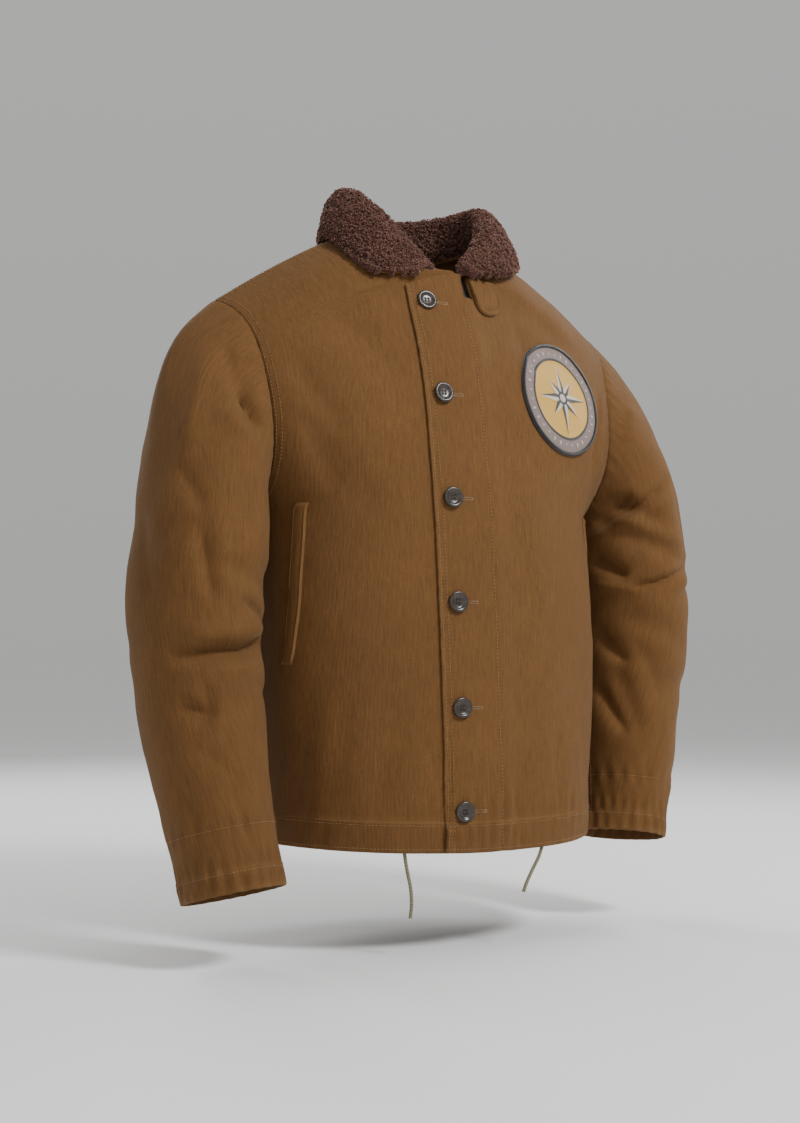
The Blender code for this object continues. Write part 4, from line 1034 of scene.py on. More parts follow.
def noise_field(points, scale, seed):
    """Smooth noise between about -1 and 1 at each point."""
    flat = points.reshape(-1, 3) * scale + seed
    return np.array([noise.noise(Vector(p)) for p in flat]).reshape(points.shape[:-1])


def wander_field(points, seed):
    """Small uneven shifts that keep a crease from running dead straight."""
    return np.stack([0.0030 * noise_field(points, 24, seed),
                     0.0030 * noise_field(points, 24, seed + 11.0)], axis=-1)


def on_arc(rows):
    """Table rows whose angles are lengths round the sleeve."""
    return [(math.radians(r[0]) * SLEEVE_RADIUS, r[1], math.radians(r[2]) * SLEEVE_RADIUS, *r[3:])
            for r in rows]


def pucker(cloth, distance, along, row):
    """Small uneven gathers along a line beside a stitched edge, from a row of numbers as above."""
    at, reach, height, pitch, seed = row
    wave = np.sin(2 * math.pi * along / pitch + 2.4 * noise_field(cloth.base, 22, seed + 3.0))
    uneven = 0.65 + 0.8 * noise_field(cloth.base, 34, seed)
    return height * wave * uneven * bell(distance - at, reach)


def new_mesh(name, vertices, faces):
    mesh = bpy.data.meshes.new(name)
    mesh.from_pydata(np.asarray(vertices, float).tolist(), [], faces)
    return mesh


def add_piece(name, mesh, material):
    piece = bpy.data.objects.new("visual_" + name, mesh)
    bpy.context.collection.objects.link(piece)
    if material is not None:
        mesh.materials.append(material)
    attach(piece, "root")
    return piece


def set_uv(mesh, u, v):
    index = np.empty(len(mesh.loops), int)
    mesh.loops.foreach_get("vertex_index", index)
    layer = mesh.uv_layers.new(name="UVMap")
    layer.data.foreach_set("uv", np.stack([u[index], v[index]], axis=1).ravel())


def cloth_object(cloth, material):
    """The closed wall of a fine cloth face."""
    rows, columns = cloth.points.shape[:2]
    count = rows * columns
    last = columns if cloth.closed else columns - 1
    quads = []
    for i in range(rows - 1):
        for j in range(last):
            if cloth.cells(i // cloth.steps, j // cloth.steps):
                k = (j + 1) % columns
                quads.append((i * columns + j, (i + 1) * columns + j,
                              (i + 1) * columns + k, i * columns + k))
    if cloth.sign < 0:
        quads = [quad[::-1] for quad in quads]
    edges = {(p, q) for quad in quads for p, q in zip(quad, quad[1:] + quad[:1])}
    rim = [(q, p, p + count, q + count) for p, q in sorted(edges) if (q, p) not in edges]
    back = [tuple(v + count for v in quad[::-1]) for quad in quads]
    vertices = np.concatenate([cloth.points.reshape(-1, 3), cloth.inner.reshape(-1, 3)])
    used = np.zeros(len(vertices), bool)
    used[np.array(quads).ravel()] = True
    used[np.array(back).ravel()] = True
    place = np.cumsum(used) - 1
    faces = [[int(place[v]) for v in face] for face in quads + back + rim]
    mesh = new_mesh(cloth.name, vertices[used], faces)
    set_uv(mesh, np.tile(cloth.across.ravel(), 2)[used], np.tile(cloth.along.ravel(), 2)[used])
    wear = mesh.attributes.new("wear", "FLOAT", "POINT")
    wear.data.foreach_set("value", np.tile(np.clip(cloth.wear, 0, 1).ravel(), 2)[used])
    mesh.shade_smooth()
    mesh.set_sharp_from_angle(angle=math.radians(65))
    return add_piece(cloth.name, mesh, material)


def cell_areas(cloth):
    a, b = cloth.points[:-1], cloth.points[1:]
    if cloth.closed:
        a = np.concatenate([a, a[:, :1]], axis=1)
        b = np.concatenate([b, b[:, :1]], axis=1)
    p, q, r, s = a[:, :-1], b[:, :-1], b[:, 1:], a[:, 1:]
    return (np.linalg.norm(np.cross(q - p, r - p), axis=2)
            + np.linalg.norm(np.cross(r - p, s - p), axis=2)) / 2


def drop(cloth, x, z):
    """Point and normal of a front cloth face at x and z."""
    if cloth.flat is None:
        facing = (cloth.normals[..., 1] < -0.15).ravel()
        rows, columns = cloth.points.shape[:2]
        shown = [cloth.cells(min(i // cloth.steps, rows), min(j // cloth.steps, columns))
                 for i in range(rows) for j in range(columns)]
        keep = facing & np.array(shown)
        cloth.flat = (cloth.points.reshape(-1, 3)[keep], cloth.normals.reshape(-1, 3)[keep])
    points, normals = cloth.flat
    gap = (points[:, 0] - x) ** 2 + (points[:, 2] - z) ** 2
    near = np.argpartition(gap, 6)[:6]
    weight = 1 / (gap[near] + 4e-7) ** 2
    weight /= weight.sum()
    p, n = points[near], normals[near]
    y = p[:, 1] - (n[:, 0] * (x - p[:, 0]) + n[:, 2] * (z - p[:, 2])) / n[:, 1]
    return np.array([x, (weight * y).sum(), z]), unit((n * weight[:, None]).sum(axis=0))


# Threads, as one mesh of small tapered stitches for each kind


class Threads:
    def __init__(self, name, material):
        self.name = name
        self.material = material
        self.stitches = []

    def add(self, start, end, normal, radius=THREAD, sink=0.25):
        self.stitches.append((start, end, normal, radius, sink))

    def line(self, points, normals, lift=0.0, stitch=STITCH, gap=STITCH_GAP, radius=THREAD):
        """Stitches along a polyline on a face."""
        points, normals = np.asarray(points), np.asarray(normals)
        run = np.concatenate([[0], np.cumsum(np.linalg.norm(np.diff(points, axis=0), axis=1))])
        at = 0.0
        while at + stitch < run[-1]:
            ends = []
            for place in (at, at + stitch):
                p = np.array([np.interp(place, run, points[:, k]) for k in range(3)])
                n = unit(np.array([np.interp(place, run, normals[:, k]) for k in range(3)]))
                ends.append((p + n * lift, n))
            self.add(ends[0][0], ends[1][0], unit(ends[0][1] + ends[1][1]), radius)
            at += stitch + gap

    def build(self, slot="cloth"):
        sides = 4
        a, b, n, r, sink = [np.array(part) for part in zip(*self.stitches)]
        r, sink = r[:, None], sink[:, None]
        along = b - a
        t = unit_rows(along)
        side = unit_rows(np.cross(t, n))
        up = np.cross(side, t)
        stations = ((0.0, -1.0, 0.5), (0.25, 0.55, 1.0), (0.75, 0.55, 1.0), (1.0, -1.0, 0.5))
        rings = []
        for at, height, wide in stations:
            lift = np.where(height < 0, height * sink * 2, height) * r
            centre = a + along * at + up * lift
            for k in range(sides):
                angle = 2 * math.pi * (k + 0.5) / sides
                rings.append(centre + (side * math.cos(angle) + up * math.sin(angle)) * r * wide)
        count = len(stations) * sides
        vertices = np.stack(rings, axis=1).reshape(-1, 3)
        faces = tube_faces(len(stations), sides)
        faces += [list(range(sides))[::-1], list(range(count - sides, count))]
        faces = [[v + count * s for v in face] for s in range(len(a)) for face in faces]
        mesh = new_mesh(self.name, vertices, faces)
        mesh.shade_smooth()
        return add_piece(self.name, mesh, self.material)


def edge_line(cloth, edge, distance, start=0.0, end=1.0):
    """Points and normals of a cloth face at a distance from one of its edges."""
    field = {"first": cloth.from_first, "last": cloth.from_last,
             "low": cloth.from_low, "high": cloth.from_high}[edge]
    points, normals = cloth.points, cloth.normals
    if edge in ("low", "high"):
        field, points, normals = field.T, points.transpose(1, 0, 2), normals.transpose(1, 0, 2)
    if edge in ("last", "high"):
        field, points, normals = field[::-1], points[::-1], normals[::-1]
    count = points.shape[1]
    places, ups = [], []
    for k in range(int(start * (count - 1)), int(end * (count - 1)) + 1):
        places.append([np.interp(distance, field[:, k], points[:, k, m]) for m in range(3)])
        ups.append([np.interp(distance, field[:, k], normals[:, k, m]) for m in range(3)])
    if cloth.closed and edge in ("first", "last"):
        places.append(places[0])
        ups.append(ups[0])
    return np.array(places), np.array(ups)


def drop_line(cloth, route, step=0.004):
    """Points and normals of a front cloth face along a polyline of (x, z) places."""
    places, ups = [], []
    for (x0, z0), (x1, z1) in zip(route, route[1:]):
        count = max(int(math.hypot(x1 - x0, z1 - z0) / step), 1)
        for k in range(count):
            t = k / count
            p, n = drop(cloth, x0 + (x1 - x0) * t, z0 + (z1 - z0) * t)
            places.append(p)
            ups.append(n)
    p, n = drop(cloth, *route[-1])
    return np.array(places + [p]), np.array(ups + [n])


# Base grids of the cloth pieces


def front_grid(side):
    rows = LOW_ROWS + HIGH_ROWS
    flap = FLAP_COLUMNS if side > 0 else []
    near = LEFT_COLUMNS if side > 0 else RIGHT_COLUMNS
    grid = []
    for x in flap:
        column = []
        for r in (min(row, NECK_PIT) for row in rows):
            column.append(front_base(column_at(abs(x), r), r) * (-1, 1, 1))
        grid.append(column)
    steps = TOP_STEPS - len(near) + 1
    for k, x in enumerate(near):
        grid.append([front_base(column_at(x, r) if r <= NECK_PIT else k / TOP_STEPS, r)
                     * (side, 1, 1) for r in rows])
    for k in range(1, steps + 1):
        column = []
        for r in rows:
            start = column_at(near[-1], r) if r <= NECK_PIT else (len(near) - 1) / TOP_STEPS
            column.append(front_base(start + (1 - start) * k / steps, r) * (side, 1, 1))
        grid.append(column)
    return np.array(grid)


def front_cells(i, j):
    """Which cells of the left front are cloth: the flap ends below the neck, beside a notch."""
    rows = LOW_ROWS + HIGH_ROWS
    flap = len(FLAP_COLUMNS)
    if i < flap - 1:
        return j < rows.index(NECK_PIT)
    if i == flap - 1:
        return j < rows.index(NOTCH_ROW)
    return True


def back_grid():
    rows = LOW_ROWS + HIGH_ROWS
    half = []
    for k in range(TOP_STEPS + 1):
        column = []
        for r in rows:
            start = column_at(BACK_GAP, r, back_base, 0.5) if r <= NECK_BACK else 0.0
            column.append(back_base(start + (1 - start) * k / TOP_STEPS, r))
        half.append(np.array(column))
    return np.array([column * (-1, 1, 1) for column in half[::-1]] + half)


def back_cells(i, j):
    return i != TOP_STEPS or j < (LOW_ROWS + HIGH_ROWS).index(NECK_BACK)


def sleeve_grid(side):
    table = LEFT_ARM if side > 0 else RIGHT_ARM
    loop = armhole_loop()
    around = len(loop)
    axis = arm_frame(table, 0)[1]
    grid = []
    for i in range(CAP_STEPS):
        ring = []
        for j, start in enumerate(loop):
            f = j / around
            end = arm_point(table, 0, f)
            reach = np.linalg.norm(end - start)
            leave = unit(smooth_row(SLEEVE_START, f))
            ring.append(bezier(start, start + leave * reach * 0.36, end - axis * reach * 0.36, end,
                               i / CAP_STEPS))
        grid.append(ring)
    for i in range(ARM_STEPS + 1):
        grid.append([arm_point(table, i / ARM_STEPS, j / around) for j in range(around)])
    return np.array(grid) * (side, 1, 1)


# Cloth pieces


def casing_height(cloth):
    """The hem casing stands proud of the cloth above it and sinks at its stitches."""
    rise = CASING_RISE * (1 - smooth((cloth.from_low - CASING_HEIGHT + 0.001) / 0.0025))
    low, above = [pucker(cloth, cloth.from_low, cloth.from_first, row) for row in CASING_PUCKERS]
    sink = -STITCH_SINK * bell(cloth.from_low - HEM_STITCHES[1], SEAM_WIDTH)
    return rise + low + above + sink


def seam_dip(distance, depth=SEAM_DEPTH):
    return -depth * bell(distance, SEAM_WIDTH)


def wear_hem(cloth, distance, edge, band, height):
    """Uneven fading along an edge and along the top of the band that ends there."""
    cloth.wear += edge * bell(distance, 0.004) + band * bell(distance - height, 0.003)
    cloth.wear *= 0.6 + 0.6 * noise_field(cloth.base, 60, 8.0)


def torso_height(cloth, fade, folds, creases, seed, broad, fine):
    """Folds, creases and unevenness of a front or the back, and its hem casing."""
    p = cloth.base
    flat = p[..., [0, 2]]
    wander = wander_field(p, seed)
    height = (fold_heights(flat, folds) + crease_heights(flat, creases, wander)) * fade
    height += (broad[0] * noise_field(p, *broad[1:]) + fine[0] * noise_field(p, *fine[1:])) * fade
    return height + casing_height(cloth)


def make_front(side):
    name = "left_front" if side > 0 else "right_front"
    cloth = Cloth(name, front_grid(side), side, cells=front_cells if side > 0 else None)
    p = cloth.base
    x = p[..., 0]
    cloth.across = side * p[:1, :, 0] + cloth.from_first
    fade = smooth(cloth.from_last / SEAM_FADE) * smooth(cloth.from_high / SEAM_FADE)
    height = torso_height(cloth, fade, FRONT_FOLDS, FRONT_CREASES, 4.0, (0.0020, 11, 2.0),
                          (0.0008, 30, 5.0))
    height += seam_dip(cloth.from_last) + seam_dip(cloth.from_high)
    height += pucker(cloth, cloth.from_last, cloth.from_low, FRONT_SIDE_PUCKER)
    height += pucker(cloth, cloth.from_high, cloth.from_first, SHOULDER_PUCKER)
    if side > 0:
        height += (1 - smooth((x - STEP_END) / (STEP_START - STEP_END))) * (WALL + FLAP_GAP)
        edge = cloth.from_first
        height += pucker(cloth, edge, cloth.from_low, FLAP_EDGE_PUCKER)
        height += pucker(cloth, x, cloth.from_low, FLAP_STITCH_PUCKER)
        outer, inner = [0.0004 * bell(edge - at, 0.0012) for at in FLAP_STITCHES]
        height -= outer + inner
        height -= STITCH_SINK * bell(x - FLAP_STITCH_X, 0.0014)
        cloth.wear += 0.45 * bell(edge, 0.0035)
    cloth.push(height)
    edges = [cloth.from_low] + ([cloth.from_first] if side > 0 else [])
    wear_hem(cloth, cloth.from_low, 0.40, 0.25, CASING_HEIGHT)
    cloth.finish(edges)
    return cloth


def make_back():
    cloth = Cloth("back", back_grid(), -1, cells=back_cells)
    sides = np.minimum(cloth.from_first, cloth.from_last)
    fade = smooth(sides / SEAM_FADE) * smooth(cloth.from_high / SEAM_FADE)
    middle = (len(cloth.base) - 1) // 2
    cloth.across = cloth.from_first - cloth.from_first[middle]
    height = torso_height(cloth, fade, BACK_FOLDS, BACK_CREASES, 5.0, (0.0022, 10, 3.0),
                          (0.0008, 28, 6.0))
    height += seam_dip(sides) + seam_dip(cloth.from_high)
    height += pucker(cloth, sides, cloth.from_low, BACK_SIDE_PUCKER)
    cloth.push(height)
    wear_hem(cloth, cloth.from_low, 0.40, 0.25, CASING_HEIGHT)
    cloth.finish([cloth.from_low])
    return cloth


def make_sleeve(side):
    name = "left_sleeve" if side > 0 else "right_sleeve"
    folds = LEFT_FOLDS if side > 0 else RIGHT_FOLDS
    creases = LEFT_CREASES if side > 0 else RIGHT_CREASES
    cloth = Cloth(name, sleeve_grid(side), side, closed=True)
    p = cloth.base
    columns = p.shape[1]
    degrees = 360 * np.arange(columns) / columns
    fade = smooth(cloth.from_first / CAP_FADE)
    height = np.zeros(p.shape[:2])
    wander = wander_field(p, 6.0 + side)
    for turn in (-360, 0, 360):
        arc = np.broadcast_to(np.radians(degrees + turn) * SLEEVE_RADIUS, p.shape[:2])
        flat = np.stack([arc, p[..., 2]], axis=-1)
        height += fold_heights(flat, on_arc(folds)) * fade
        height += crease_heights(flat, on_arc(creases), wander) * fade
    height += (0.0026 * noise_field(p, 12, 7.0) + 0.0010 * noise_field(p, 32, 1.0)) * fade
    cuff = cloth.from_last
    height += CUFF_RISE * (1 - smooth((cuff - CUFF_BAND) / 0.0025))
    around = cloth.from_low
    for row in CUFF_PUCKERS:
        height += pucker(cloth, cuff, around, row)
    height -= (0.0006 * bell(cuff - CUFF_STITCHES[0], 0.0015)
               + STITCH_SINK * bell(cuff - CUFF_STITCHES[1], 0.0014))
    height += seam_dip(cloth.from_first)
    height += pucker(cloth, cloth.from_first, around, CAP_PUCKER)
    inseam = np.minimum(around, cloth.length - around)
    height += seam_dip(inseam, INSEAM_DEPTH)
    height += pucker(cloth, inseam, cloth.from_first, INSEAM_PUCKER)
    cloth.push(height)
    cloth.across = around - cloth.length / 2
    cloth.along = cloth.from_first
    wear_hem(cloth, cuff, 0.5, 0.3, CUFF_BAND)
    cloth.finish([cuff])
    return cloth


def make_collar():
    """The collar's cloth underside and the ground of its pile, on one middle face."""
    face = collar_grid()
    t = np.linspace(0, 1, len(face))
    if face[0, :, 0].mean() < 0:
        t = 1 - t
    face = face + smooth((t - 0.78) / 0.22)[:, None, None] * COLLAR_END_SHIFT
    under = Cloth("collar_under", face, 1, steps=4)
    height = 0.0004 * noise_field(under.base, 30, 3.0) - LIFT / 2
    under.push(height)
    under.finish([], COLLAR_CLOTH)
    ground = Cloth("collar_pile", face, 1, steps=4)
    edge = ground.from_edges()
    depth = PILE_EDGE_DEPTH + (PILE_DEPTH - PILE_EDGE_DEPTH) * smooth(edge / 0.012)
    depth = depth - 0.0026
    ground.inner = ground.points + ground.normals * LIFT
    ground.push(depth + 0.0010 * noise_field(ground.base, 120, 4.0)
                + 0.0012 * noise_field(ground.base, 55, 2.0))
    return under, ground


def edge_tufts(ground):
    """Places, normals and reach of the tufts that hang over the collar's free edges."""
    places, normals = [], []
    for edge in ("high", "first", "last"):
        p, n = edge_line(ground, edge, 0.0006)
        q = edge_line(ground, edge, 0.0040)[0]
        away = unit_rows(p - q)
        for out, down in ((0.0002, 0.0), (0.0014, 0.0012), (0.0016, 0.0030), (0.0008, 0.0046)):
            places.append(p + away * out - n * down)
            normals.append(n * (0.9 - 160 * down) + away * (0.3 + 220 * down))
    return np.concatenate(places), np.concatenate(normals)


def pile_locks(ground, name, material, count, seed, edges=None):
    """Curly tufts all over the pile, or along its edges, as short twisted tubes."""
    random = np.random.default_rng(seed)
    areas = cell_areas(ground)
    rows, columns = areas.shape
    chosen = random.choice(areas.size, count, p=(areas / areas.sum()).ravel())
    i, j = np.divmod(chosen, columns)
    u, v = random.random((2, count, 1))

    def sample(field):
        return ((field[i, j] * (1 - u) + field[i + 1, j] * u) * (1 - v)
                + (field[i, j + 1] * (1 - u) + field[i + 1, j + 1] * u) * v)

    if edges is None:
        place, normal = sample(ground.points), sample(ground.normals)
    else:
        pick = random.integers(0, len(edges[0]), count)
        place = edges[0][pick] + random.normal(0, 0.0007, (count, 3))
        normal = edges[1][pick] + random.normal(0, 0.15, (count, 3))
    normal = unit_rows(normal)
    a = unit_rows(np.cross(normal, random.normal(size=(count, 3))))
    b = np.cross(normal, a)
    curl = random.uniform(0.0012, 0.0023, (count, 1))
    tube = random.uniform(0.00055, 0.0009, (count, 1))
    tall = random.uniform(0.0010, 0.0030, (count, 1))
    turn = random.uniform(0, 2 * math.pi, (count, 1))
    spin = random.uniform(3.2, 5.6, (count, 1)) * random.choice([-1, 1], (count, 1))
    rings, sides = 6, 4
    stations = []
    for k in range(rings):
        t = k / (rings - 1)
        angle = turn + spin * t
        radius = curl * (0.55 + 0.45 * t)
        lift = -TUFT_ROOT + (tall + TUFT_ROOT) * math.sin(math.pi * 0.62 * t)
        stations.append(place + normal * lift
                        + (a * np.cos(angle) + b * np.sin(angle)) * radius)
    vertices = []
    for k, centre in enumerate(stations):
        ahead = unit_rows(stations[min(k + 1, rings - 1)] - stations[max(k - 1, 0)])
        side = unit_rows(np.cross(ahead, normal))
        up = np.cross(side, ahead)
        wide = tube * (0.75, 1.0, 1.0, 0.95, 0.8, 0.35)[k]
        for m in range(sides):
            angle = 2 * math.pi * m / sides
            vertices.append(centre + (side * math.cos(angle) + up * math.sin(angle)) * wide)
    per = rings * sides
    vertices = np.stack(vertices, axis=1).reshape(-1, 3)
    one = tube_faces(rings, sides) + [list(range(per - sides, per))]
    faces = (np.arange(count)[:, None, None] * per + np.array(one)[None]).reshape(-1, 4)
    mesh = new_mesh(name, vertices, faces.tolist())
    mesh.shade_smooth()
    return add_piece(name, mesh, material)


def make_tab(front):
    """The throat tab: a doubled tab with a round lower end and a raised, stitched edge."""
    columns, rows = 28, 26
    grid = np.zeros((columns + 1, rows + 1, 3))
    normals = np.zeros_like(grid)
    for i in range(columns + 1):
        a = 0.5 - 0.5 * math.cos(math.pi * i / columns)
        across = 2 * a - 1
        bottom = TAB_LENGTH * (0.58 + 0.42 * math.sqrt(max(1 - abs(across) ** 2.4, 0)))
        for j in range(rows + 1):
            t = math.sin(math.pi / 2 * j / rows)
            x = TAB_X + TAB_WIDTH * a + 0.004 * (1 - a) * t
            grid[i, j], normals[i, j] = drop(front, x, TAB_TOP - bottom * t)
    tab = Cloth("throat_tab", grid, -1, steps=1)
    tab.points, tab.normals = grid + normals * (2 * LIFT + 0.0004), normals
    edge = np.minimum(np.minimum(tab.from_first, tab.from_last), tab.from_high)
    tab.inner = tab.points.copy()
    dome = TAB_DEPTH * rounded_edge(edge, *TAB_EDGE)
    groove = 0.0009 * bell(edge - TAB_GROOVE, 0.0012)
    tab.points = tab.points + normals * (dome - groove)[..., None]
    tab.normals = -grid_normals(tab.points)
    tab.wear = 0.3 * bell(edge - 0.001, 0.002)
    return tab


def make_welt(front, side):
    """A slanted welt: a folded strip with a rounded opening edge."""
    top, bottom = np.array(WELT_TOP), np.array(WELT_BOTTOM)
    columns, rows = 10, 40
    grid = np.zeros((columns + 1, rows + 1, 3))
    normals = np.zeros_like(grid)
    line = bottom - top
    sideways = np.array([line[1], -line[0]]) / np.linalg.norm(line)
    for i in range(columns + 1):
        for j in range(rows + 1):
            middle = top + line * j / rows
            up = drop(front, side * middle[0], middle[1])[1]
            offset = (i / columns - 0.5) * WELT_WIDTH * math.hypot(up[1], up[2])
            x, z = middle + sideways * offset
            grid[i, j], normals[i, j] = drop(front, side * x, z)
    name = "left_pocket_welt" if side > 0 else "right_pocket_welt"
    cloth = Cloth(name, grid, 1, steps=1)
    edge = cloth.from_edges()
    cloth.inner = grid + normals * 0.0002
    height = (WELT_LIFT + WELT_DEPTH) * rounded_edge(edge, *WELT_EDGE)
    height -= 0.0006 * bell(edge - WELT_GROOVE, 0.0010)
    cloth.points = grid + normals * height[..., None]
    facing = grid_normals(cloth.points)
    cloth.sign = 1 if facing[columns // 2, rows // 2] @ normals[columns // 2, rows // 2] > 0 else -1
    cloth.normals = facing * cloth.sign
    cloth.wear = 0.3 * bell(edge - 0.0006, 0.0016)
    return cloth


# Patch: rings and an eight-pointed star


def flat_place(front, centre, across, up, a, u):
    """Point and normal of a front face whose flat place round centre is (a, u)."""
    x, z = centre[0] + across[0] * a + up[0] * u, centre[2] + across[2] * a + up[2] * u
    for _ in range(4):
        p, n = drop(front, x, z)
        miss_a, miss_u = a - (p - centre) @ across, u - (p - centre) @ up
        x += miss_a * across[0] + miss_u * up[0]
        z += miss_a * across[2] + miss_u * up[2]
    return p, n


def star_edge(angle):
    """Distance of the star's outline from its centre in one direction."""
    sector = math.pi / 8
    k = int(angle // sector)
    t = angle - k * sector
    tips = {0: STAR_LONG, 2: STAR_SHORT}
    ends = [tips[k % 4] if k % 2 == 0 else STAR_WAIST,
            STAR_WAIST if k % 2 == 0 else tips[(k + 1) % 4]]
    x0, y0 = ends[0], 0.0
    x1, y1 = ends[1] * math.cos(sector), ends[1] * math.sin(sector)
    cross = (x1 - x0) * math.sin(t) - (y1 - y0) * math.cos(t)
    return abs((x1 - x0) * y0 - (y1 - y0) * x0) / max(abs(cross), 1e-9)


STAR_LONG, STAR_SHORT, STAR_WAIST = 0.0400, 0.0270, 0.0115
HUB, HUB_RING = 0.0045, 0.0075
RING_IN, RING_OUT = 0.0425, 0.0455
FIELD = 0.0590


def make_patch(front, materials):
    centre, normal = drop(front, PATCH_X, PATCH_Z)
    across = unit(np.cross(np.array([0, 0, 1.0]), -normal)) * -1
    if across[0] < 0:
        across = -across
    up = np.cross(normal, across) * (1 if np.cross(normal, across)[2] > 0 else -1)
    columns = 128
    field, black, yellow, white = range(4)
    bands = [
        # outer edge, steps, raised, looks of the even and the odd sixteenths
        (HUB, 2, STITCH_RISE, (white, white)),
        (HUB_RING, 2, 0.0007, (black, black)),
        ("star", 9, STITCH_RISE, (white, black)),
        (RING_IN, 4, 0.0, (yellow, yellow)),
        (RING_OUT, 3, STITCH_RISE, (black, black)),
        (FIELD, 7, 0.0, (field, field)),
        (PATCH_RADIUS, 2, 0.0, (black, black)),
    ]
    rings, looks, lifts = [np.zeros(columns)], [], [STITCH_RISE]
    angles = 2 * math.pi * np.arange(columns) / columns
    for edge, steps, lift, pair in bands:
        outer = np.array([star_edge(a) if edge == "star" else edge for a in angles])
        inner = rings[-1]
        for k in range(1, steps + 1):
            rings.append(inner + (outer - inner) * k / steps)
            looks.append(pair)
            lifts.append(lift if k < steps else lift * 0.4)
    top, normals = [], []
    for ring in rings:
        line, ups = [], []
        for radius, angle in zip(ring, angles):
            p, n = flat_place(front, centre, across, up, radius * math.cos(angle),
                              radius * math.sin(angle))
            line.append(p)
            ups.append(n)
            if ring is rings[0]:
                line, ups = [p] * columns, [n] * columns
                break
        top.append(line)
        normals.append(ups)
    top, normals = np.array(top), np.array(normals)
    ground = 2 * LIFT + PATCH_DEPTH - STITCH_RISE
    raised = top + normals * (ground + np.array(lifts))[:, None, None]
    vertices = np.concatenate([raised.reshape(-1, 3),
                               top[-1] + normals[-1] * 0.0002,
                               (centre + normal * 0.0002)[None]])
    faces, index = [], []
    for r in range(len(rings) - 1):
        for c in range(columns):
            d = (c + 1) % columns
            faces.append([r * columns + c, (r + 1) * columns + c,
                          (r + 1) * columns + d, r * columns + d])
            index.append(looks[r][c // (columns // 16) % 2])
    base = len(rings) * columns
    for c in range(columns):
        d = (c + 1) % columns
        faces.append([base - columns + c, base + c, base + d, base - columns + d])
        index.append(black)
        faces.append([base + columns, base + d, base + c])
        index.append(field)
    mesh = new_mesh("chest_patch", vertices, faces)
    for key in ("field", "black", "yellow", "white"):
        mesh.materials.append(materials[key])
    mesh.polygons.foreach_set("material_index", index)
    radii = rings + [np.full(columns, PATCH_RADIUS)]
    u = np.concatenate([radius * np.cos(angles) for radius in radii] + [[0]])
    v = np.concatenate([radius * np.sin(angles) for radius in radii] + [[0]])
    set_uv(mesh, u, v)
    mesh.validate()
    mesh.shade_smooth()
    mesh.set_sharp_from_angle(angle=math.radians(50))
    piece = add_piece("chest_patch", mesh, None)
    border = Threads("patch_border", materials["black"])
    for k in range(BORDER_COUNT):
        angle = 2 * math.pi * k / BORDER_COUNT
        ends = []
        for radius, lean, lift in BORDER_ENDS:
            p, n = flat_place(front, centre, across, up, radius * math.cos(angle + lean),
                              radius * math.sin(angle + lean))
            ends.append(p + n * (ground + lift))
        border.add(ends[0], ends[1], n, BORDER_THREAD, 0.2)
    marks = Threads("patch_marks", materials["white"])
    for k in range(MARK_COUNT):
        angle = 2 * math.pi * (k + 0.5) / MARK_COUNT
        reach = MARK_LONG_END if k % 4 in (1, 2) else MARK_SHORT_END
        for offset in (-0.0006, 0.0, 0.0006):
            ends = []
            for radius in (MARK_START, reach):
                p, n = flat_place(front, centre, across, up,
                                  radius * math.cos(angle) - offset * math.sin(angle),
                                  radius * math.sin(angle) + offset * math.cos(angle))
                ends.append(p + n * (ground + 0.0002))
            marks.add(ends[0], ends[1], n, THREAD, 0.4)
    return piece, border.build("patch"), marks.build("patch")


# Buttons, buttonholes and zip


def button_piece(node_name, material):
    """A finer copy of one button's form, with a rim and a dished middle; its four holes are not cut but
    painted as shade.
    """
    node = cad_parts[node_name]
    co = np.array([v.co for v in node.data.vertices])
    middle = (co.max(axis=0) + co.min(axis=0)) / 2
    spread = np.linalg.svd(co - co.mean(axis=0))[2]
    normal = spread[2] if spread[2][1] < 0 else -spread[2]
    up = unit(np.array([0, 0, 1.0]) - normal * normal[2])
    across = np.cross(up, normal)
    heights = (co - middle) @ normal
    base = middle + normal * heights.min()
    profile = [
        (0.00, 0.40), (0.20, 0.40), (0.42, 0.42), (0.54, 0.50), (0.62, 0.68), (0.70, 0.88),
        (0.78, 0.98), (0.85, 1.00), (0.92, 0.94), (0.98, 0.74), (1.00, 0.52), (0.97, 0.26),
        (0.88, 0.08), (0.74, 0.00), (0.00, 0.00),
    ]
    sides = 48
    vertices, rings = [], []
    for radius, height in profile:
        r, h = radius * BUTTON_RADIUS, height * BUTTON_DEPTH
        size = 1 if radius == 0 else sides
        rings.append([len(vertices) + k for k in range(size)])
        for k in range(size):
            angle = 2 * math.pi * k / sides
            vertices.append(base + across * r * math.cos(angle) + up * r * math.sin(angle)
                            + normal * h)
    faces = []
    for a, b in zip(rings, rings[1:]):
        for k in range(sides):
            m = (k + 1) % sides
            if len(a) == 1:
                faces.append([a[0], b[k], b[m]])
            elif len(b) == 1:
                faces.append([a[k], b[0], a[m]])
            else:
                faces.append([a[k], b[k], b[m], a[m]])
    mesh = new_mesh(node_name, vertices, faces)
    mesh.shade_smooth()
    mesh.set_sharp_from_angle(angle=math.radians(60))
    piece = add_piece(node_name, mesh, material)
    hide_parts(node_name)
    return base, across, up, normal


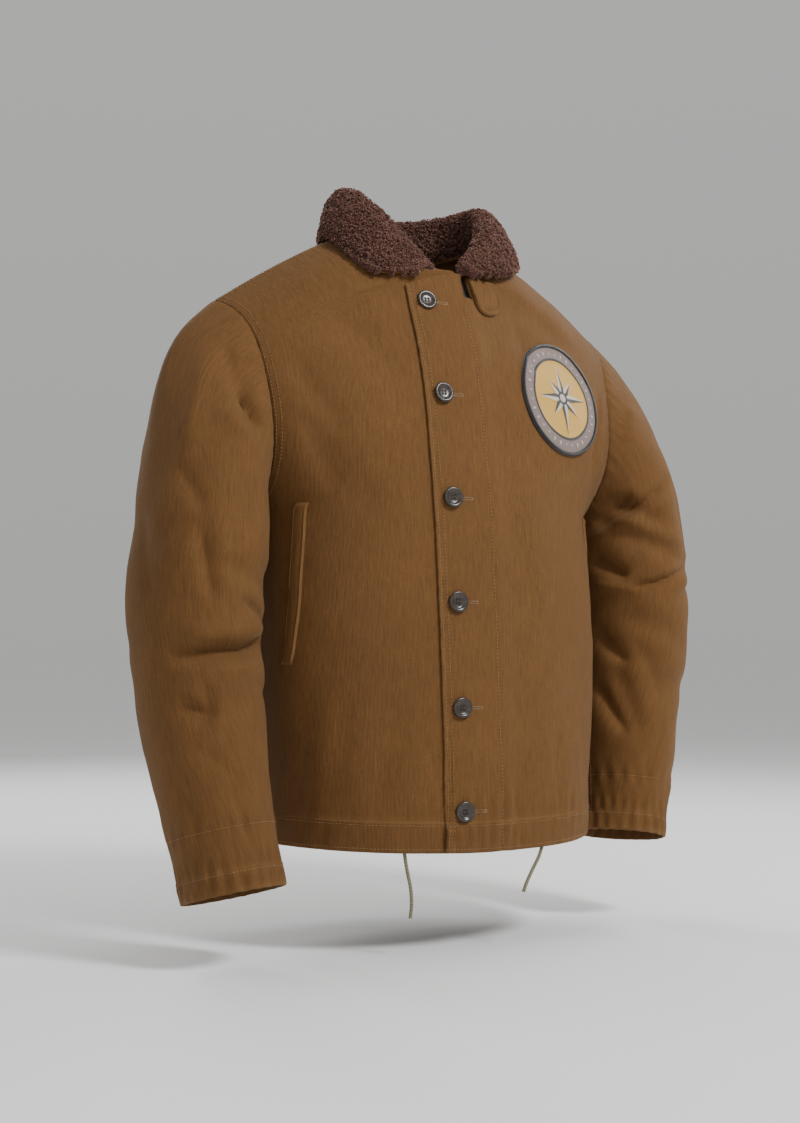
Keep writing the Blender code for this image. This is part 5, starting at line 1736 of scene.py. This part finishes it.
def painted_hole_shade(places, material):
    """Near-black discs over the four holes of each button: painted shade standing in for the holes."""
    vertices, faces = [], []
    sides = 12
    for base, across, up, normal in places:
        for k in range(4):
            angle = math.pi / 4 + k * math.pi / 2
            middle = (base + (across * math.cos(angle) + up * math.sin(angle)) * BUTTON_HOLE_REACH
                      + normal * BUTTON_DEPTH * 0.405)
            start = len(vertices)
            vertices.append(middle + normal * 0.00008)
            for m in range(sides):
                turn = 2 * math.pi * m / sides
                vertices.append(middle + normal * 0.00006 + (across * math.cos(turn)
                                + up * math.sin(turn)) * BUTTON_HOLE_RADIUS * 1.15)
            for m in range(sides):
                faces.append([start, start + 1 + m, start + 1 + (m + 1) % sides])
    mesh = new_mesh("painted_button_hole_shade", vertices, faces)
    return add_piece("painted_button_hole_shade", mesh, material)


def sew_button(threads, place):
    base, across, up, normal = place
    middle = base + normal * (BUTTON_DEPTH * 0.42)
    reach = BUTTON_HOLE_REACH * math.sqrt(0.5)
    for side in (-1, 1):
        for shift in (-0.00028, 0.00028):
            a = middle + across * (reach * side + shift) + up * reach
            b = middle + across * (reach * side + shift) - up * reach
            threads.add(a, b, normal, 0.00034, 0.5)


def buttonhole(threads, face, start, end):
    """Satin stitches round a slot from start to end, both (x, z)."""
    start, end = np.array(start), np.array(end)
    along = unit(end - start)
    off = np.array([-along[1], along[0]])
    length = np.linalg.norm(end - start)

    def stitch(middle, way, reach):
        (a, up), (b, _) = [drop(face, *(middle + way * r)) for r in (0.0003, reach)]
        threads.add(a, b, up, HOLE_THREAD, 0.3)

    for side in (-1, 1):
        count = int(length / 0.0007)
        for k in range(count):
            stitch(start + along * length * k / count, off * side, 0.0018)
    for centre in (start, end):
        for k in range(7):
            angle = math.pi * k / 6
            way = off * math.cos(angle) + along * math.sin(angle) * (1 if centre is end else -1)
            stitch(centre, way, 0.0019)


def zip_teeth(material):
    """Interlocked teeth down the middle of the zip tape."""
    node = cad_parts["zip"]
    co = np.array([v.co for v in node.data.vertices])
    heights = np.arange(co[:, 2].min() + 0.004, co[:, 2].max() - 0.003, 0.0030)
    front = co[np.abs(co[:, 0]) < 0.008]
    vertices, faces = [], []
    for k, z in enumerate(heights):
        near = front[np.argsort(np.abs(front[:, 2] - z))[:8]]
        y = near[:, 1].min()
        side = 1 if k % 2 else -1
        box = [(-0.0008, -0.0009), (0.0028, -0.0009), (0.0028, 0.0009), (-0.0008, 0.0009)]
        start = len(vertices)
        for depth in (0.0006, -0.0008):
            for a, b in box:
                vertices.append((a * side, y + depth, z + b))
        faces += [[start + f for f in face] for face in
                  ((0, 1, 2, 3), (7, 6, 5, 4), (0, 4, 5, 1), (1, 5, 6, 2), (2, 6, 7, 3),
                   (3, 7, 4, 0))]
    mesh = new_mesh("zip_teeth", vertices, faces)
    return add_piece("zip_teeth", mesh, material)


# Drawcords


def cord_piece(name, route, material):
    keyed = [(i,) + p for i, p in enumerate(route)]
    fine = np.array([smooth_row(keyed, t) for t in np.linspace(0, len(route) - 1, 26)])
    curve = bpy.data.curves.new(name, "CURVE")
    curve.dimensions = "3D"
    spline = curve.splines.new("POLY")
    spline.points.add(len(fine) - 1)
    for point, p in zip(spline.points, fine):
        point.co = (*p, 1)
    curve.bevel_depth = CORD_DIAMETER / 2
    curve.bevel_resolution = 4
    curve.use_fill_caps = True
    curve.materials.append(material)
    piece = bpy.data.objects.new("visual_" + name, curve)
    bpy.context.collection.objects.link(piece)
    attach(piece, "root")
    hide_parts(name)


def declare_sheet(cloth):
    """Cell areas of a cloth face and which of its cells show; nothing is kept or declared."""
    areas = cell_areas(cloth)
    rows, columns = areas.shape
    shown = np.array([[cloth.cells(i // cloth.steps, j // cloth.steps) for j in range(columns)]
                      for i in range(rows)])


def build():
    add_camera()
    add_studio()
    cord_look = cord_material()
    cord_piece("left_drawcord", LEFT_CORD, cord_look)
    cord_piece("right_drawcord", RIGHT_CORD, cord_look)
    cloth_look = cloth_material()
    thread = thread_material("topstitch", (0.15, 0.075, 0.024), (0.26, 0.135, 0.046))
    pale = thread_material("buttonhole_thread", (0.15, 0.080, 0.028), (0.27, 0.155, 0.060))
    left, right, back = make_front(1), make_front(-1), make_back()
    sleeves = {1: make_sleeve(1), -1: make_sleeve(-1)}
    for cloth in (left, right, back, sleeves[1], sleeves[-1]):
        piece = cloth_object(cloth, cloth_look)
        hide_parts(cloth.name)
        declare_sheet(cloth)
    under, ground = make_collar()
    piece = cloth_object(under, cloth_look)
    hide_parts("collar_under")
    declare_sheet(under)
    dark_pile = pile_material("pile_ground", (0.028, 0.0105, 0.0075), (0.062, 0.024, 0.017))
    curls = pile_material("pile_curls", (0.050, 0.019, 0.013), (0.125, 0.053, 0.037))
    piece = cloth_object(ground, dark_pile)
    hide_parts("collar_pile")
    tufts = [pile_locks(ground, f"pile_curls_{k}", curls, TUFTS, 20 + k) for k in range(2)]
    tufts.append(pile_locks(ground, "pile_edge", curls, EDGE_TUFTS, 31, edge_tufts(ground)))
    declare_sheet(ground)
    tab = make_tab(left)
    piece = cloth_object(tab, cloth_look)
    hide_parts("throat_tab")
    for side in (1, -1):
        front = left if side > 0 else right
        welt = make_welt(front, side)
        piece = cloth_object(welt, cloth_look)
        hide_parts(welt.name)
        declare_sheet(welt)
    patch_looks = {
        "field": twill_material("patch_twill", (0.135, 0.098, 0.088), (0.250, 0.190, 0.172)),
        "black": satin_material("patch_black", (0.006, 0.005, 0.005), (0.028, 0.025, 0.024)),
        "yellow": satin_material("patch_yellow", (0.50, 0.255, 0.018), (0.74, 0.44, 0.050)),
        "white": satin_material("patch_white", (0.42, 0.37, 0.30), (0.72, 0.66, 0.56)),
    }
    piece, border, marks = make_patch(left, patch_looks)
    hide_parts("chest_patch")
    horn = button_material()
    places = [button_piece(f"button_{k + 1}", horn) for k in range(len(BUTTON_HEIGHTS))]
    # painted shade: the near-black hole_shade material colours the discs that stand in for the button
    # holes
    dark = thread_material("hole_shade", (0.004, 0.003, 0.003), (0.010, 0.008, 0.006), 0.9)
    painted_hole_shade(places, dark)
    sewing = Threads("button_sewing", thread_material("button_thread", (0.025, 0.016, 0.010),
                                                      (0.060, 0.040, 0.024)))
    for place in places:
        sew_button(sewing, place)
    sewing.build("button")
    stitches = Threads("topstitching", thread)
    for distance in FLAP_STITCHES:
        stitches.line(*edge_line(left, "first", distance, 0.0, 0.86))
    stitches.line(*drop_line(left, [(FLAP_STITCH_X, z) for z in FLAP_STITCH_HEIGHTS]))
    for cloth in (left, right, back):
        for distance in HEM_STITCHES:
            stitches.line(*edge_line(cloth, "low", distance))
    for cloth, edges in ((left, ("last",)), (right, ("last",)), (back, ("first", "last"))):
        for edge in edges:
            for distance in SEAM_STITCHES:
                stitches.line(*edge_line(cloth, edge, distance, 0.5, 1.0))
    for cloth in (left, right):
        stitches.line(*edge_line(cloth, "high", NECK_STITCH, 0.45, 1.0))
    for sleeve in sleeves.values():
        for distance in CUFF_STITCHES:
            stitches.line(*edge_line(sleeve, "last", distance))
        for k in (2, sleeve.points.shape[1] - 3):
            stitches.line(sleeve.points[:, k], sleeve.normals[:, k])
    holes = Threads("buttonholes", pale)
    for z in BUTTON_HEIGHTS:
        buttonhole(holes, left, (BUTTON_X + HOLE_START, z), (BUTTON_X + HOLE_END, z))
    holes.build()
    stitches.build()
    zip_look = twill_material("zip_tape", (0.012, 0.010, 0.009), (0.040, 0.032, 0.026))
    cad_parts["zip"].data.materials.clear()
    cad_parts["zip"].data.materials.append(zip_look)
    zip_teeth(metal_material())


build()
bpy.context.view_layer.update()
